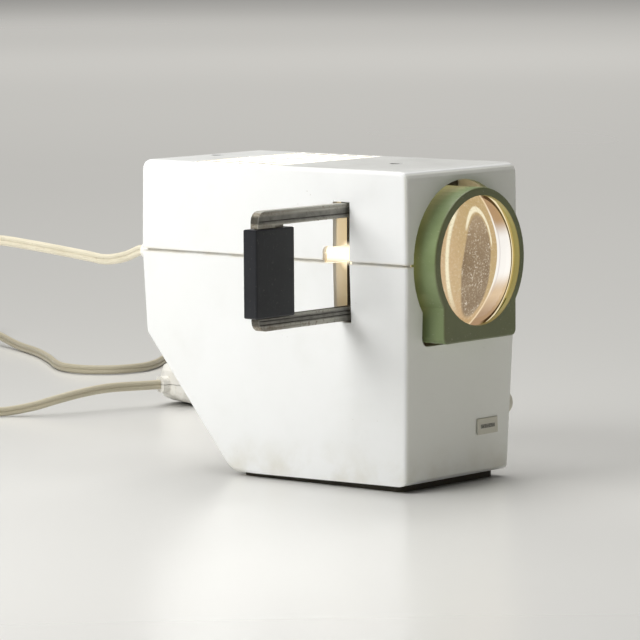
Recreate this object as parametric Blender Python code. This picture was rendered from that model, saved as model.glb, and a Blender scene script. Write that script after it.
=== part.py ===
"""Table-top slide viewer: a two-part moulded case with a lit slide gate, a push-pull slide carrier,
a focusing magnifier and a twin-flex mains lead with an in-line switch. Metres, +Z up.

The front with the lens faces -Y, the carrier comes out to -X, and the origin is on the underside of
the base plate, at the middle of the case."""

from math import acos, asin, atan2, cos, degrees, pi, radians, sin, sqrt, tan

import bmesh
import bpy
from mathutils import Matrix, Vector

GAP = 0.0003

# Case
CASE_HALF_WIDTH = 0.0414
CASE_HALF_LENGTH = 0.0795
CASE_TOP = 0.1453
SEAM = 0.1031
SEAM_BAND = 0.0012
WALL = 0.0026
SIDE_RADIUS = 0.002
TOP_CORNER_RADIUS = 0.0047
LOWER_DRAFT = tan(radians(2.0))
UPPER_DRAFT = tan(radians(0.6))
TONGUE_INSET = 0.0013
TONGUE_TOP = 0.1065
RIM_REAR, RIM_FRONT = 0.0018, 0.0054
SLOPE_FOOT = (0.0360, 0.0113)
SLOPE_ANGLE = radians(51.4)
SLOPE_FOOT_RADIUS, SLOPE_HEAD_RADIUS = 0.010, 0.004
BASE_REAR = 0.0246

# Vent in the top
VENT_FRONT, VENT_PITCH, VENT_ROWS, VENT_BAR = -0.0030, 0.0087, 6, 0.0030
VENT_RIB = 0.0020
VENT_FAR = 0.0365

# Optics, all on one axis that runs along Y
AXIS_Z = 0.1034
RECESS_RADIUS, RECESS_HALF, RECESS_BOTTOM = 0.0364, 0.0290, 0.0657
HOLDER_RADIUS, HOLDER_HALF, HOLDER_BOTTOM = 0.0331, 0.0267, 0.0673
HOLDER_FRONT, HOLDER_BACK = -0.0893, -0.0555
HOLDER_FACE, HOLDER_WALL = 0.0024, 0.0022
LENS_OPENING = 0.0295
LENS_RADIUS, LENS_EDGE, LENS_BULGE = 0.0304, 0.0040, 0.0085

# Slide gate and carrier; the carrier stands 66 mm out of the case
SLOT = ((-0.0467, 0.0758), (-0.0370, 0.1304))
NOTCH = ((-0.0370, SEAM - 0.0005), (-0.0310, 0.1100))
CARRIER_Y, CARRIER_THICK = -0.0432, 0.0044
CARRIER_LEFT, CARRIER_RIGHT = -0.1030, -0.0205
CARRIER_BOTTOM, CARRIER_TOP, RAIL = 0.0769, 0.1300, 0.0065
WINDOW_LEFT = -0.0915
POCKET_LEFT, POCKET_RIGHT = -0.0790, -0.0275
HANDLE_X = (-0.1055, -0.0793)
HANDLE_Y = (-0.0463, -0.0386)
HANDLE_Z = (0.0827, 0.1221)

# Focus drive
SHAFT_Y, SHAFT_Z, SHAFT_RADIUS = -0.0650, 0.0327, 0.0020
CRANK_ARM, PIN_REST_OFFSET, PIN_RADIUS = 0.0260, 0.0065, 0.0013
ROD_X, ROD_Z, ROD_RADIUS = 0.0200, 0.0570, 0.0020
KNOB_RADIUS, KNOB_START, KNOB_END = 0.0063, 0.0402, 0.0487

# Base
PLATE_X, PLATE_FRONT, PLATE_REAR, PLATE_TOP = 0.0343, -0.0708, 0.0240, 0.0050
BASE_SCREWS = [(x, y) for x in (-0.0300, 0.0300) for y in (-0.0655, 0.0120)]
COVER_SCREWS = {"cover_screw_front": -0.0409, "cover_screw_rear": 0.0672}

# Mains lead: a flat twin flex, 5 mm across
CORD_RADIUS = 0.0024
GLAND = (-0.0300, 0.0870, 0.1012)
SWITCH_START, SWITCH_ANGLE, SWITCH_LENGTH = (0.1332, 0.2246, 0.0117), radians(-18.5), 0.0620
COIL_CENTRE, COIL_MEAN, COIL_STEP = (0.2520, 0.2175), 0.0260, 0.0050
PLUG_START, PLUG_ANGLE = (0.3085, 0.5250, 0.0075), radians(65.0)

CREAM = (0.86, 0.86, 0.82)
IVORY = (0.80, 0.76, 0.63)
SAGE = (0.42, 0.44, 0.33)
STEEL = (0.42, 0.41, 0.37)
BRASS = (0.72, 0.55, 0.26)
BLACK = (0.035, 0.035, 0.042)
BROWN = (0.10, 0.085, 0.06)
GLASS = (0.90, 0.92, 0.90)


# ---------------------------------------------------------------- helpers


def clear_scene():
    for obj in list(bpy.data.objects):
        bpy.data.objects.remove(obj, do_unlink=True)


def material(name, colour, roughness, metallic=0.0):
    found = bpy.data.materials.get(name) or bpy.data.materials.new(name)
    found.use_nodes = True
    shader = found.node_tree.nodes["Principled BSDF"]
    shader.inputs["Base Color"].default_value = (*colour, 1.0)
    shader.inputs["Roughness"].default_value = roughness
    shader.inputs["Metallic"].default_value = metallic
    return found


def add(name, mesh, finish, origin=(0, 0, 0), rotation=(0, 0, 0)):
    """A mesh object whose points are given about its own origin."""
    mesh.name = name
    obj = bpy.data.objects.new(name, mesh)
    obj.location = origin
    obj.rotation_euler = rotation
    bpy.context.scene.collection.objects.link(obj)
    if finish:
        obj.data.materials.append(finish)
    bpy.context.view_layer.update()
    return obj


def finished(bm):
    bm.normal_update()
    bmesh.ops.recalc_face_normals(bm, faces=bm.faces)
    if bm.calc_volume(signed=True) < 0:
        bmesh.ops.reverse_faces(bm, faces=bm.faces)
    mesh = bpy.data.meshes.new("mesh")
    bm.to_mesh(mesh)
    bm.free()
    return mesh


def smooth(obj, angle=35):
    obj.data.shade_smooth()
    obj.data.set_sharp_from_angle(angle=radians(angle))
    return obj


def loft(rings, closed=False):
    """A solid through rings of equal point counts, capped at both ends unless it closes on itself."""
    bm = bmesh.new()
    loops = [[bm.verts.new(point) for point in ring] for ring in rings]
    pairs = list(zip(loops, loops[1:])) + ([(loops[-1], loops[0])] if closed else [])
    for lower, upper in pairs:
        for i in range(len(lower)):
            j = (i + 1) % len(lower)
            bm.faces.new((lower[i], lower[j], upper[j], upper[i]))
    if not closed:
        bm.faces.new(loops[0])
        bm.faces.new(loops[-1])
    return finished(bm)


def prism(outline, start, end, axis):
    """An outline of (a, b) pairs pushed along an axis: X takes (y, z), Y takes (x, z), Z takes (x, y)."""
    place = {
        "X": lambda a, b, t: (t, a, b),
        "Y": lambda a, b, t: (a, t, b),
        "Z": lambda a, b, t: (a, b, t),
    }[axis]
    return loft([[place(a, b, t) for a, b in outline] for t in (start, end)])


def box(low, high):
    (x0, y0, z0), (x1, y1, z1) = low, high
    return prism([(x0, y0), (x1, y0), (x1, y1), (x0, y1)], z0, z1, "Z")


def rounded_box(low, high, radius, segments=2):
    bm = bmesh.new()
    bm.from_mesh(box(low, high))
    bmesh.ops.bevel(bm, geom=bm.edges[:], offset=radius, segments=segments, affect="EDGES", profile=0.5)
    return finished(bm)


def arc(centre, radius, start, end, steps):
    """Points on a circle from one angle to another, in degrees."""
    return [
        (
            centre[0] + radius * cos(radians(start + (end - start) * i / steps)),
            centre[1] + radius * sin(radians(start + (end - start) * i / steps)),
        )
        for i in range(steps + 1)
    ]


def turned(profile, axis, segments=32):
    """A closed (radius, height) outline turned about an axis through the mesh's origin."""
    bm = bmesh.new()
    verts = [bm.verts.new((radius, 0, height)) for radius, height in profile]
    edges = [bm.edges.new((verts[i], verts[(i + 1) % len(verts)])) for i in range(len(verts))]
    bmesh.ops.spin(
        bm, geom=verts + edges, cent=(0, 0, 0), axis=(0, 0, 1), angle=2 * pi, steps=segments,
        use_duplicate=False,
    )
    bmesh.ops.remove_doubles(bm, verts=bm.verts, dist=1e-6)
    bmesh.ops.dissolve_degenerate(bm, dist=1e-6, edges=bm.edges)
    on_axis = [e for e in bm.edges if all(hypot2(v.co) < 1e-6 for v in e.verts) and not e.link_faces]
    bmesh.ops.delete(bm, geom=on_axis, context="EDGES")
    bm.normal_update()
    on_axis = [v for v in bm.verts if hypot2(v.co) < 1e-6]
    poles = [v for v in on_axis if all(abs(f.normal.z) > 0.9999 for f in v.link_faces)]
    bmesh.ops.dissolve_verts(bm, verts=poles)
    turns = {"X": Matrix.Rotation(pi / 2, 4, "Y"), "Y": Matrix.Rotation(-pi / 2, 4, "X"), "Z": Matrix()}
    turn = turns[axis]
    bm.transform(turn)
    return finished(bm)


def hypot2(co):
    return sqrt(co.x * co.x + co.y * co.y)


def cylinder(radius, start, end, axis, segments=24):
    return turned([(0, start), (radius, start), (radius, end), (0, end)], axis, segments)


def ring(outer, inner, start, end, axis, segments=24):
    return turned([(inner, start), (outer, start), (outer, end), (inner, end)], axis, segments)


def boolean(obj, mesh, operation, origin=(0, 0, 0)):
    """A Boolean that is applied at once, so that a long list of cuts stays readable."""
    tool = add("tool", mesh, None, origin)
    step = obj.modifiers.new("cut", "BOOLEAN")
    step.operation = operation
    step.solver = "EXACT"
    step.object = tool
    graph = bpy.context.evaluated_depsgraph_get()
    result = bpy.data.meshes.new_from_object(obj.evaluated_get(graph))
    obj.modifiers.clear()
    finish = list(obj.data.materials)
    obj.data = result
    result.name = obj.name
    result.materials.clear()
    for slot in finish:
        result.materials.append(slot)
    bpy.data.objects.remove(tool, do_unlink=True)
    return obj


def cut(obj, mesh, origin=(0, 0, 0)):
    return boolean(obj, mesh, "DIFFERENCE", origin)


def join(obj, mesh, origin=(0, 0, 0)):
    return boolean(obj, mesh, "UNION", origin)


def smooth_route(points, spacing):
    """Evenly spaced points on a centripetal curve through a route, with short straight ends."""
    knots = [Vector(p) for p in points]
    knots = [2 * knots[0] - knots[1]] + knots + [2 * knots[-1] - knots[-2]]
    fine = []
    for a, b, c, d in zip(knots, knots[1:], knots[2:], knots[3:]):
        t0, t1 = 0.0, sqrt((b - a).length)
        t2 = t1 + sqrt((c - b).length)
        t3 = t2 + sqrt((d - c).length)
        for i in range(12):
            t = t1 + (t2 - t1) * i / 12
            ab = a + (b - a) * ((t - t0) / (t1 - t0))
            bc = b + (c - b) * ((t - t1) / (t2 - t1))
            cd = c + (d - c) * ((t - t2) / (t3 - t2))
            abc = ab + (bc - ab) * ((t - t0) / (t2 - t0))
            bcd = bc + (cd - bc) * ((t - t1) / (t3 - t1))
            fine.append(abc + (bcd - abc) * ((t - t1) / (t2 - t1)))
    fine.append(knots[-2])
    total = sum((q - p).length for p, q in zip(fine, fine[1:]))
    count = max(3, round(total / spacing))
    stops = [0.003] + [total * i / count for i in range(1, count)] + [total - 0.003]
    even, run = [fine[0]], 0.0
    for p, q in zip(fine, fine[1:]):
        step = (q - p).length
        while stops and run + step >= stops[0]:
            even.append(p + (q - p) * ((stops.pop(0) - run) / step))
        run += step
    return even + [fine[-1]]


def tube(name, points, radius, finish, spacing):
    """A round lead along a smooth route, as a curve with closed ends."""
    curve = bpy.data.curves.new(name, "CURVE")
    curve.dimensions = "3D"
    curve.bevel_depth = radius
    curve.bevel_resolution = 2
    curve.use_fill_caps = True
    spline = curve.splines.new("POLY")
    route = smooth_route(points, spacing)
    spline.points.add(len(route) - 1)
    for point, place in zip(spline.points, route):
        point.co = (*place, 1.0)
    obj = bpy.data.objects.new(name, curve)
    bpy.context.scene.collection.objects.link(obj)
    curve.materials.append(finish)
    return obj


# ---------------------------------------------------------------- case shapes


def half_size(z, inset=0.0):
    """Half the case's width and length at a height; both mouldings taper away from the seam."""
    taper = (SEAM - z) * LOWER_DRAFT if z < SEAM else (z - SEAM) * UPPER_DRAFT
    return CASE_HALF_WIDTH - taper - inset, CASE_HALF_LENGTH - taper - inset


def rounded_rectangle(half_x, half_y, radius, z, steps=4):
    points = []
    for sx, sy, start in ((1, 1, 0), (-1, 1, 90), (-1, -1, 180), (1, -1, 270)):
        centre = (sx * (half_x - radius), sy * (half_y - radius))
        points += [(x, y, z) for x, y in arc(centre, radius, start, start + 90, steps)]
    return points


def case_rings(heights, inset, radius):
    return [rounded_rectangle(*half_size(z, inset), radius, z) for z in heights]


def keyhole(radius, half, bottom, corner, steps=40):
    """Round on top and square below: the outline that the lens holder and its recess share."""
    side = degrees(acos(half / radius))
    points = arc((0, AXIS_Z), radius, -side, 180 + side, steps)
    points += arc((-half + corner, bottom + corner), corner, 180, 270, 4)
    points += arc((half - corner, bottom + corner), corner, 270, 360, 4)
    return points


def slope_line(distance):
    """A point of the sloping back at a depth behind its outer face, and the way up the slope."""
    along = (cos(SLOPE_ANGLE), sin(SLOPE_ANGLE))
    point = (SLOPE_FOOT[0] - distance * sin(SLOPE_ANGLE), SLOPE_FOOT[1] + distance * cos(SLOPE_ANGLE))
    return point, along


def slope_height(y, distance):
    (y0, z0), (ay, az) = slope_line(distance)
    return z0 + (y - y0) * az / ay


def housing_profile():
    """The lower housing from the side: (y, z) from the front seam down and round to the rear seam."""
    top = SEAM - SEAM_BAND / 2
    lean = degrees(atan2(LOWER_DRAFT, 1))
    slope = degrees(SLOPE_ANGLE)
    foot_z = RIM_REAR + SLOPE_FOOT_RADIUS
    (y0, z0), (ay, az) = slope_line(SLOPE_FOOT_RADIUS)
    foot = (y0 + (foot_z - z0) * ay / az, foot_z)
    (y1, z1), _ = slope_line(SLOPE_HEAD_RADIUS)
    head_z = 0.066
    for _ in range(20):
        head_y = half_size(head_z)[1] - SLOPE_HEAD_RADIUS / cos(radians(lean))
        head_z = z1 + (head_y - y1) * az / ay
    points = [(-half_size(top)[1], top), (-half_size(RIM_REAR)[1], RIM_REAR)]
    points += arc(foot, SLOPE_FOOT_RADIUS, -90, slope - 90, 5)
    points += arc((head_y, head_z), SLOPE_HEAD_RADIUS, slope - 90, -lean, 4)
    points += [(half_size(top)[1], top)]
    return points


def tapered_prism(profile, inset):
    """A side profile given the case's tapering width."""
    return loft([[(side * half_size(z, inset)[0], y, z) for y, z in profile] for side in (-1, 1)])


def side_rounded(profile, keep_sharp):
    """The side profile as a solid whose edges along both sides are rounded, but for the sharp ones."""
    bm = bmesh.new()
    bm.from_mesh(tapered_prism(profile, 0))
    rounded = []
    for edge in bm.edges:
        a, b = (v.co for v in edge.verts)
        if a.x * b.x > 0 and not keep_sharp(a, b):
            rounded.append(edge)
    bmesh.ops.bevel(bm, geom=rounded, offset=SIDE_RADIUS, segments=3, affect="EDGES", profile=0.5)
    return finished(bm)


def cover_profile():
    """The upper cover from the side, with its large front and rear corners."""
    bottom = SEAM + SEAM_BAND / 2
    top_z = CASE_TOP - TOP_CORNER_RADIUS
    half_y = half_size(top_z)[1] - TOP_CORNER_RADIUS
    points = [(half_size(bottom)[1], bottom)]
    points += arc((half_y, top_z), TOP_CORNER_RADIUS, 0, 90, 5)
    points += arc((-half_y, top_z), TOP_CORNER_RADIUS, 90, 180, 5)
    return points + [(-half_size(bottom)[1], bottom)]


def housing_cavity():
    inner_top = TONGUE_TOP + 0.01
    front, rear = -half_size(0.05, WALL)[1], half_size(inner_top, WALL)[1]
    head_z = slope_height(half_size(0.066, WALL)[1], WALL)
    return [
        (-half_size(inner_top, WALL)[1], inner_top),
        (front + 0.0019, -0.005),
        (BASE_REAR, -0.005),
        (BASE_REAR, 0.0045),
        (BASE_REAR + 0.0035, 0.0060),
        (BASE_REAR + 0.0068, slope_height(BASE_REAR + 0.0068, WALL)),
        (half_size(0.066, WALL)[1], head_z),
        (rear, inner_top),
    ]


def wall_openings(obj):
    """The carrier slot, the light notch, the lens recess and the cord hole cross both mouldings."""
    (slot_y0, slot_z0), (slot_y1, slot_z1) = SLOT
    cut(obj, box((-0.060, slot_y0, slot_z0), (-0.034, slot_y1, slot_z1)))
    (notch_y0, notch_z0), (notch_y1, notch_z1) = NOTCH
    corner = 0.0025
    notch = [(notch_y0 - 0.001, notch_z0), (notch_y1, notch_z0)]
    notch += arc((notch_y1 - corner, notch_z1 - corner), corner, 0, 90, 3) + [(notch_y0 - 0.001, notch_z1)]
    cut(obj, prism(notch, -0.060, -0.025, "X"))
    cut(obj, prism(keyhole(RECESS_RADIUS, RECESS_HALF, RECESS_BOTTOM, 0.0042), -0.100, -0.070, "Y"))
    cut(obj, cylinder(0.0046, -0.012, 0.012, "Y", 16), (GLAND[0], CASE_HALF_LENGTH, GLAND[2]))


def make_upper_cover(cream):
    bottom = SEAM + SEAM_BAND / 2 + 1e-5
    cover = add("upper_cover", side_rounded(cover_profile(), lambda a, b: max(a.z, b.z) < bottom), cream)
    rebate = TONGUE_INSET - GAP
    cut(cover, loft(case_rings((SEAM - 0.01, TONGUE_TOP + GAP), rebate, 0.003)))
    hollow = add("hollow", loft(case_rings((SEAM, CASE_TOP - WALL), WALL, 0.002)), None)
    for y in COVER_SCREWS.values():
        cut(hollow, cylinder(0.0048, CASE_TOP - 0.0063, CASE_TOP, "Z", 20), (0, y, 0))
    room = hollow.data.copy()
    bpy.data.objects.remove(hollow, do_unlink=True)
    cut(cover, room)
    for y in COVER_SCREWS.values():
        bore = [(0, CASE_TOP - 0.0120), (0.0018, CASE_TOP - 0.0120), (0.0018, CASE_TOP - 0.0020)]
        bore += [(0.0031, CASE_TOP - 0.0020), (0.0031, CASE_TOP + 0.0050), (0, CASE_TOP + 0.0050)]
        cut(cover, turned(bore, "Z", 20), (0, y, 0))
    shallow, deep, above = CASE_TOP - 0.0012, CASE_TOP - 0.0060, CASE_TOP + 0.0050
    near = [(-0.0500, shallow), (-0.0385, shallow), (-0.0385, deep), (-VENT_RIB, deep)]
    near += [(-VENT_RIB, above), (-0.0500, above)]
    far = [(VENT_RIB, deep), (VENT_FAR, deep), (VENT_FAR, above), (VENT_RIB, above)]
    for row in range(VENT_ROWS):
        front = VENT_FRONT + row * VENT_PITCH
        for outline in (near, far):
            cut(cover, prism(outline, front, front + VENT_PITCH - VENT_BAR, "Y"))
    join(cover, box((-0.0383, SLOT[1][0], SEAM + 0.0006), (-0.0313, SLOT[1][0] + 0.0020, 0.1320)))
    join(cover, box((-0.0396, SLOT[1][0], TONGUE_TOP + 0.0010), (-0.0370, SLOT[1][0] + 0.0020, 0.1320)))
    wall_openings(cover)
    smooth(cover, 30)


def make_lower_housing(cream):
    top = SEAM - SEAM_BAND / 2 - 1e-5
    foot = SLOPE_FOOT[0] - SLOPE_FOOT_RADIUS

    def sharp(a, b):
        at_rim = max(a.z, b.z) < RIM_REAR + 1e-5 and max(a.y, b.y) < foot
        return at_rim or min(a.z, b.z) > top

    housing = add("lower_housing", side_rounded(housing_profile(), sharp), cream)
    join(housing, loft(case_rings((SEAM - 0.006, TONGUE_TOP), TONGUE_INSET, 0.003)))
    cut(housing, tapered_prism(housing_cavity(), WALL))
    front = -half_size(0)[1] - 0.005
    rim = [(front, RIM_FRONT), (front, -0.01), (BASE_REAR + 0.0004, -0.01), (BASE_REAR + 0.0004, RIM_REAR)]
    rim += [(-0.0720, 0.0030), (-0.0738, 0.0034), (-0.0752, 0.0043), (-0.0762, RIM_FRONT)]
    cut(housing, prism(rim, -0.05, 0.05, "X"))
    join(housing, box((-0.0396, SLOT[1][0], 0.0700), (-0.0313, SLOT[1][0] + 0.0020, SEAM - 0.0006)))
    for x, y in BASE_SCREWS:
        side = 1 if x > 0 else -1
        low = (min(x - side * 0.0035, side * 0.0375), y - 0.0035, 0.0070)
        high = (max(x - side * 0.0035, side * 0.0375), y + 0.0035, 0.0170)
        join(housing, box(low, high))
        cut(housing, cylinder(0.0018, 0.0, 0.0155, "Z", 12), (x, y, 0))
    for side in (-1, 1):
        low = (min(side * 0.0345, side * 0.0385), -0.0480, 0.0610)
        high = (max(side * 0.0345, side * 0.0385), -0.0385, 0.0657)
        join(housing, box(low, high))
    wall_openings(housing)
    cut(housing, cylinder(0.0043, 0.030, 0.045, "X", 20), (0, SHAFT_Y, SHAFT_Z))
    smooth(housing, 30)


def screw(name, origin, head_radius, head, shank_radius, length, finish, up=True):
    """A slotted cheese-head screw: the head starts at its origin and the shank goes the other way."""
    way = 1 if up else -1
    profile = [(0, 0), (head_radius, 0), (head_radius, head * 0.8), (head_radius * 0.85, head), (0, head)]
    stem = [(0, 0.0002), (shank_radius, 0.0002), (shank_radius, -length), (0, -length)]
    obj = add(name, turned([(r, way * h) for r, h in profile], "Z", 20), finish, origin)
    join(obj, turned([(r, way * h) for r, h in stem], "Z", 12), origin)
    slot_bottom, slot_top = sorted((way * head * 0.55, way * head * 1.5))
    cut(obj, box((-head_radius * 1.2, -0.0004, slot_bottom), (head_radius * 1.2, 0.0004, slot_top)), origin)
    return smooth(obj)


def make_case(cream, brown, steel, badge):
    make_upper_cover(cream)
    make_lower_housing(cream)
    plate = add(
        "base_plate",
        prism(
            [(x, y) for x, y, _ in rounded_rectangle(PLATE_X, (PLATE_REAR - PLATE_FRONT) / 2, 0.004, 0)],
            0,
            PLATE_TOP,
            "Z",
        ),
        brown,
        (0, (PLATE_REAR + PLATE_FRONT) / 2, 0),
    )
    for i, (x, y) in enumerate(BASE_SCREWS, 1):
        cut(plate, cylinder(0.0033, -0.001, 0.0027, "Z", 16), (x, y, 0))
        cut(plate, cylinder(0.0018, -0.001, 0.010, "Z", 12), (x, y, 0))
        screw(f"base_screw_{i}", (x, y, 0.0024), 0.0029, 0.0017, 0.0014, 0.0115, steel, up=False)
    for name, y in COVER_SCREWS.items():
        screw(name, (0, y, CASE_TOP - 0.0017), 0.0028, 0.0014, 0.0014, 0.0120, steel)
    face = -half_size(0.0253)[1]
    lean = atan2(LOWER_DRAFT, 1)
    low, high = (-0.0076, -0.0009, -0.0037), (0.0076, -GAP, 0.0037)
    add("front_badge", rounded_box(low, high, 0.0002, 1), badge, (0.0203, face, 0.0253), (-lean, 0, 0))


# ---------------------------------------------------------------- inside


def make_chassis(steel):
    plate = add("chassis_plate", box((-0.0349, -0.0730, 0.0053), (0.0349, 0.0170, 0.0065)), steel)
    for x, y in BASE_SCREWS:
        cut(plate, cylinder(0.0018, 0.0, 0.010, "Z", 12), (x, y, 0))
    legs = [(-0.027, 0.0068), (-0.027, 0.0600), (-0.013, 0.0600), (-0.013, 0.0440)]
    legs += [(-x, z) for x, z in reversed(legs)]
    brackets = (("rod_bracket_front", -0.0729, -0.0715), ("rod_bracket_rear", -0.0170, -0.0156))
    for name, start, end in brackets:
        bracket = add(name, prism(legs, start, end, "Y"), steel)
        for x in (-ROD_X, ROD_X):
            cut(bracket, cylinder(ROD_RADIUS + GAP, -0.01, 0.01, "Y", 16), (x, start, ROD_Z))
    for name, x in (("guide_rod_left", -ROD_X), ("guide_rod_right", ROD_X)):
        smooth(add(name, cylinder(ROD_RADIUS, -0.0742, -0.0145, "Y", 16), steel, (x, 0, ROD_Z)))
    pillar = add("rear_pillar", cylinder(0.0040, 0.0610, CASE_TOP - 0.0066, "Z", 16), steel, (0, 0.0672, 0))
    cut(pillar, cylinder(0.0018, CASE_TOP - 0.020, CASE_TOP, "Z", 12), (0, 0.0672, 0))
    smooth(pillar)
    stand = [(0.0163, 0.0068), (0.0178, 0.0068), (0.0178, 0.0575), (0.0340, 0.0575)]
    stand += [(0.0340, 0.0590), (0.0060, 0.0590), (0.0060, 0.0575), (0.0163, 0.0575)]
    bracket = add("socket_bracket", prism(stand, -0.014, 0.014, "X"), steel)
    cut(bracket, cylinder(0.0060, 0.05, 0.07, "Z", 16), (0, 0.0225, 0))


def make_gate(steel, black, spring_steel):
    half = CARRIER_THICK / 2
    front, rear = CARRIER_Y - half, CARRIER_Y + half
    lower = [(front - 0.0024, 0.0660), (rear + 0.0024, 0.0660), (rear + 0.0024, 0.0815)]
    floor = CARRIER_BOTTOM - GAP
    lower += [(rear + 0.0004, 0.0815), (rear + 0.0004, floor), (rear - 0.0008, floor)]
    lower += [(rear - 0.0008, 0.0712), (front + 0.0008, 0.0712), (front + 0.0008, floor)]
    lower += [(front - 0.0004, floor), (front - 0.0004, 0.0815), (front - 0.0024, 0.0815)]
    add("gate_lower_guide", prism(lower, -0.0371, 0.0371, "X"), black)
    ceiling = CARRIER_TOP + GAP
    upper = [(front - 0.0024, 0.1255), (front - 0.0004, 0.1255), (front - 0.0004, ceiling)]
    upper += [(rear + 0.0004, ceiling), (rear + 0.0004, 0.1255), (rear + 0.0024, 0.1255)]
    upper += [(rear + 0.0024, 0.1384), (front - 0.0024, 0.1384)]
    guide = add("gate_upper_guide", prism(upper, -0.0371, 0.0371, "X"), black)
    cut(guide, cylinder(0.0018, 0.1315, 0.150, "Z", 12), (0, COVER_SCREWS["cover_screw_front"], 0))
    low, high = 0.0820, 0.1252
    for name, start in (("gate_front_plate", front - 0.0016), ("gate_rear_plate", rear + 0.0008)):
        plate = add(name, box((-0.0252, start, low), (0.0252, start + 0.0008, high)), steel)
        cut(plate, box((-0.0200, start - 0.01, AXIS_Z - 0.0195), (0.0200, start + 0.01, AXIS_Z + 0.0195)))
    leaf = [(0.0285, rear + 0.0006), (0.0305, rear + 0.0004)]
    leaf += [(0.0330, rear + 0.0006), (0.0370, rear + 0.0016)]
    back = [(x, y + 0.0004) for x, y in reversed(leaf)]
    add("detent_spring", prism(leaf + back, 0.0960, 0.1100, "Z"), spring_steel)


def lens_profile(radius, edge, bulge, steps=5):
    """Half section of a plano-convex lens: flat at height 0 and bulging towards -height."""
    curve = (radius * radius + bulge * bulge) / (2 * bulge)
    centre = -edge - bulge + curve
    rim = asin(radius / curve)
    dome = [(curve * sin(rim * i / steps), centre - curve * cos(rim * i / steps)) for i in range(steps + 1)]
    return [(0, 0), *dome, (radius, 0)]


def make_lamp_side(glass, opal, steel, chrome, brass, ceramic, black):
    inner = 0.0293
    tube_front, tube_rear = -0.0372, -0.0105
    barrel = ring(inner + 0.0015, inner, tube_front, tube_rear, "Y", 40)
    smooth(add("condenser_tube", barrel, black, (0, 0, AXIS_Z)))
    smooth(add("diffuser_glass", cylinder(inner - GAP, -0.0360, -0.0340, "Y", 40), opal, (0, 0, AXIS_Z)))
    lens = turned([(r, -h) for r, h in lens_profile(inner - GAP, 0.0025, 0.0080)], "Y", 40)
    smooth(add("condenser_lens", lens, glass, (0, -0.0315, AXIS_Z)))
    smooth(add("heat_glass", cylinder(inner - GAP, -0.0145, -0.0125, "Y", 40), glass, (0, 0, AXIS_Z)))
    house = add("lamp_house", box((-0.0290, -0.0100, 0.0660), (0.0290, 0.0530, 0.1385)), steel)
    cut(house, box((-0.0280, -0.0090, 0.0670), (0.0280, 0.0520, 0.1500)))
    cut(house, cylinder(0.0250, -0.020, 0.0, "Y", 40), (0, 0, AXIS_Z))
    cut(house, cylinder(0.0130, 0.060, 0.070, "Z", 24), (0, 0.0225, 0))
    dish, thick, depth = 0.0240, 0.0008, 0.0080
    curve = (dish * dish + depth * depth) / (2 * depth)
    rim = degrees(asin(dish / curve))
    face = [(r, curve + h) for r, h in arc((0, 0), curve, -90, -90 + rim, 6)]
    back = [(r, curve + h) for r, h in arc((0, 0), curve + thick, -90 + rim, -90, 6)]
    bowl = [(max(r, 0), -h) for r, h in face + back]
    smooth(add("reflector", turned(bowl, "Y", 32), chrome, (0, 0.0500, AXIS_Z)))
    bulb = arc((0, AXIS_Z), 0.0130, 90, -58, 8) + [(0.0066, AXIS_Z - 0.0150), (0.0064, 0.0852), (0, 0.0852)]
    smooth(add("lamp_bulb", turned([(max(r, 0), z) for r, z in bulb], "Z", 24), glass, (0, 0.0225, 0)))
    smooth(add("lamp_cap", cylinder(0.0070, 0.0700, 0.0849, "Z", 24), brass, (0, 0.0225, 0)))
    socket = [(0, 0.0593), (0.0115, 0.0593), (0.0115, 0.0770), (0.0075, 0.0770)]
    socket += [(0.0075, 0.0697), (0, 0.0697)]
    smooth(add("lamp_socket", turned(socket, "Z", 24), ceramic, (0, 0.0225, 0)))


def make_electrics(laminated, winding, ceramic, lead):
    core = add("transformer_core", box((-0.0250, -0.0125, 0.0068), (0.0250, 0.0150, 0.0500)), laminated)
    cut(core, box((-0.0165, -0.02, 0.0150), (-0.0080, 0.02, 0.0418)))
    cut(core, box((0.0080, -0.02, 0.0150), (0.0165, 0.02, 0.0418)))
    bobbin = rounded_box((-0.0162, -0.0152, 0.0154), (0.0162, 0.0160, 0.0414), 0.002, 2)
    coil = add("transformer_coil", bobbin, winding)
    cut(coil, box((-0.0083, -0.0128, 0.0), (0.0083, 0.0153, 0.06)))
    join(coil, box((-0.0162, -0.0152, 0.0300), (-0.0150, -0.0140, 0.0310)))
    block = rounded_box((-0.0345, -0.0080, 0.0068), (-0.0272, 0.0050, 0.0180), 0.0008, 1)
    add("terminal_block", block, ceramic)
    mains = [(-0.0300, 0.0667, 0.1012), (-0.0300, 0.0634, 0.1006), (-0.0316, 0.0582, 0.0940)]
    mains += [(-0.0330, 0.0545, 0.0810), (-0.0333, 0.0430, 0.0600)]
    mains += [(-0.0330, 0.0290, 0.0400), (-0.0325, 0.0150, 0.0280)]
    mains += [(-0.0315, 0.0050, 0.0252), (-0.0309, -0.0006, 0.0222), (-0.0309, -0.0010, 0.0183)]
    tube("mains_lead_inside", mains, 0.0015, lead, 0.008)
    lamp = [(0.0205, 0.0110, 0.0503), (0.0205, 0.0110, 0.0540), (0.0190, 0.0050, 0.0590)]
    lamp += [(0.0120, 0.0025, 0.0625), (0.0045, 0.0050, 0.0635), (0.0020, 0.0104, 0.0635)]
    tube("lamp_lead", lamp, 0.0010, lead, 0.005)
    nose = [(0, -0.0200), (0.0042, -0.0200), (0.0042, -0.0072), (0.0058, -0.0072), (0.0058, -0.0058)]
    nose += [(0.0046, -0.0048), (0.0036, 0.0), (0, 0.0)]
    smooth(add("cord_gland", turned(nose, "Y", 20), lead, GLAND))


# ---------------------------------------------------------------- moving pieces


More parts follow.
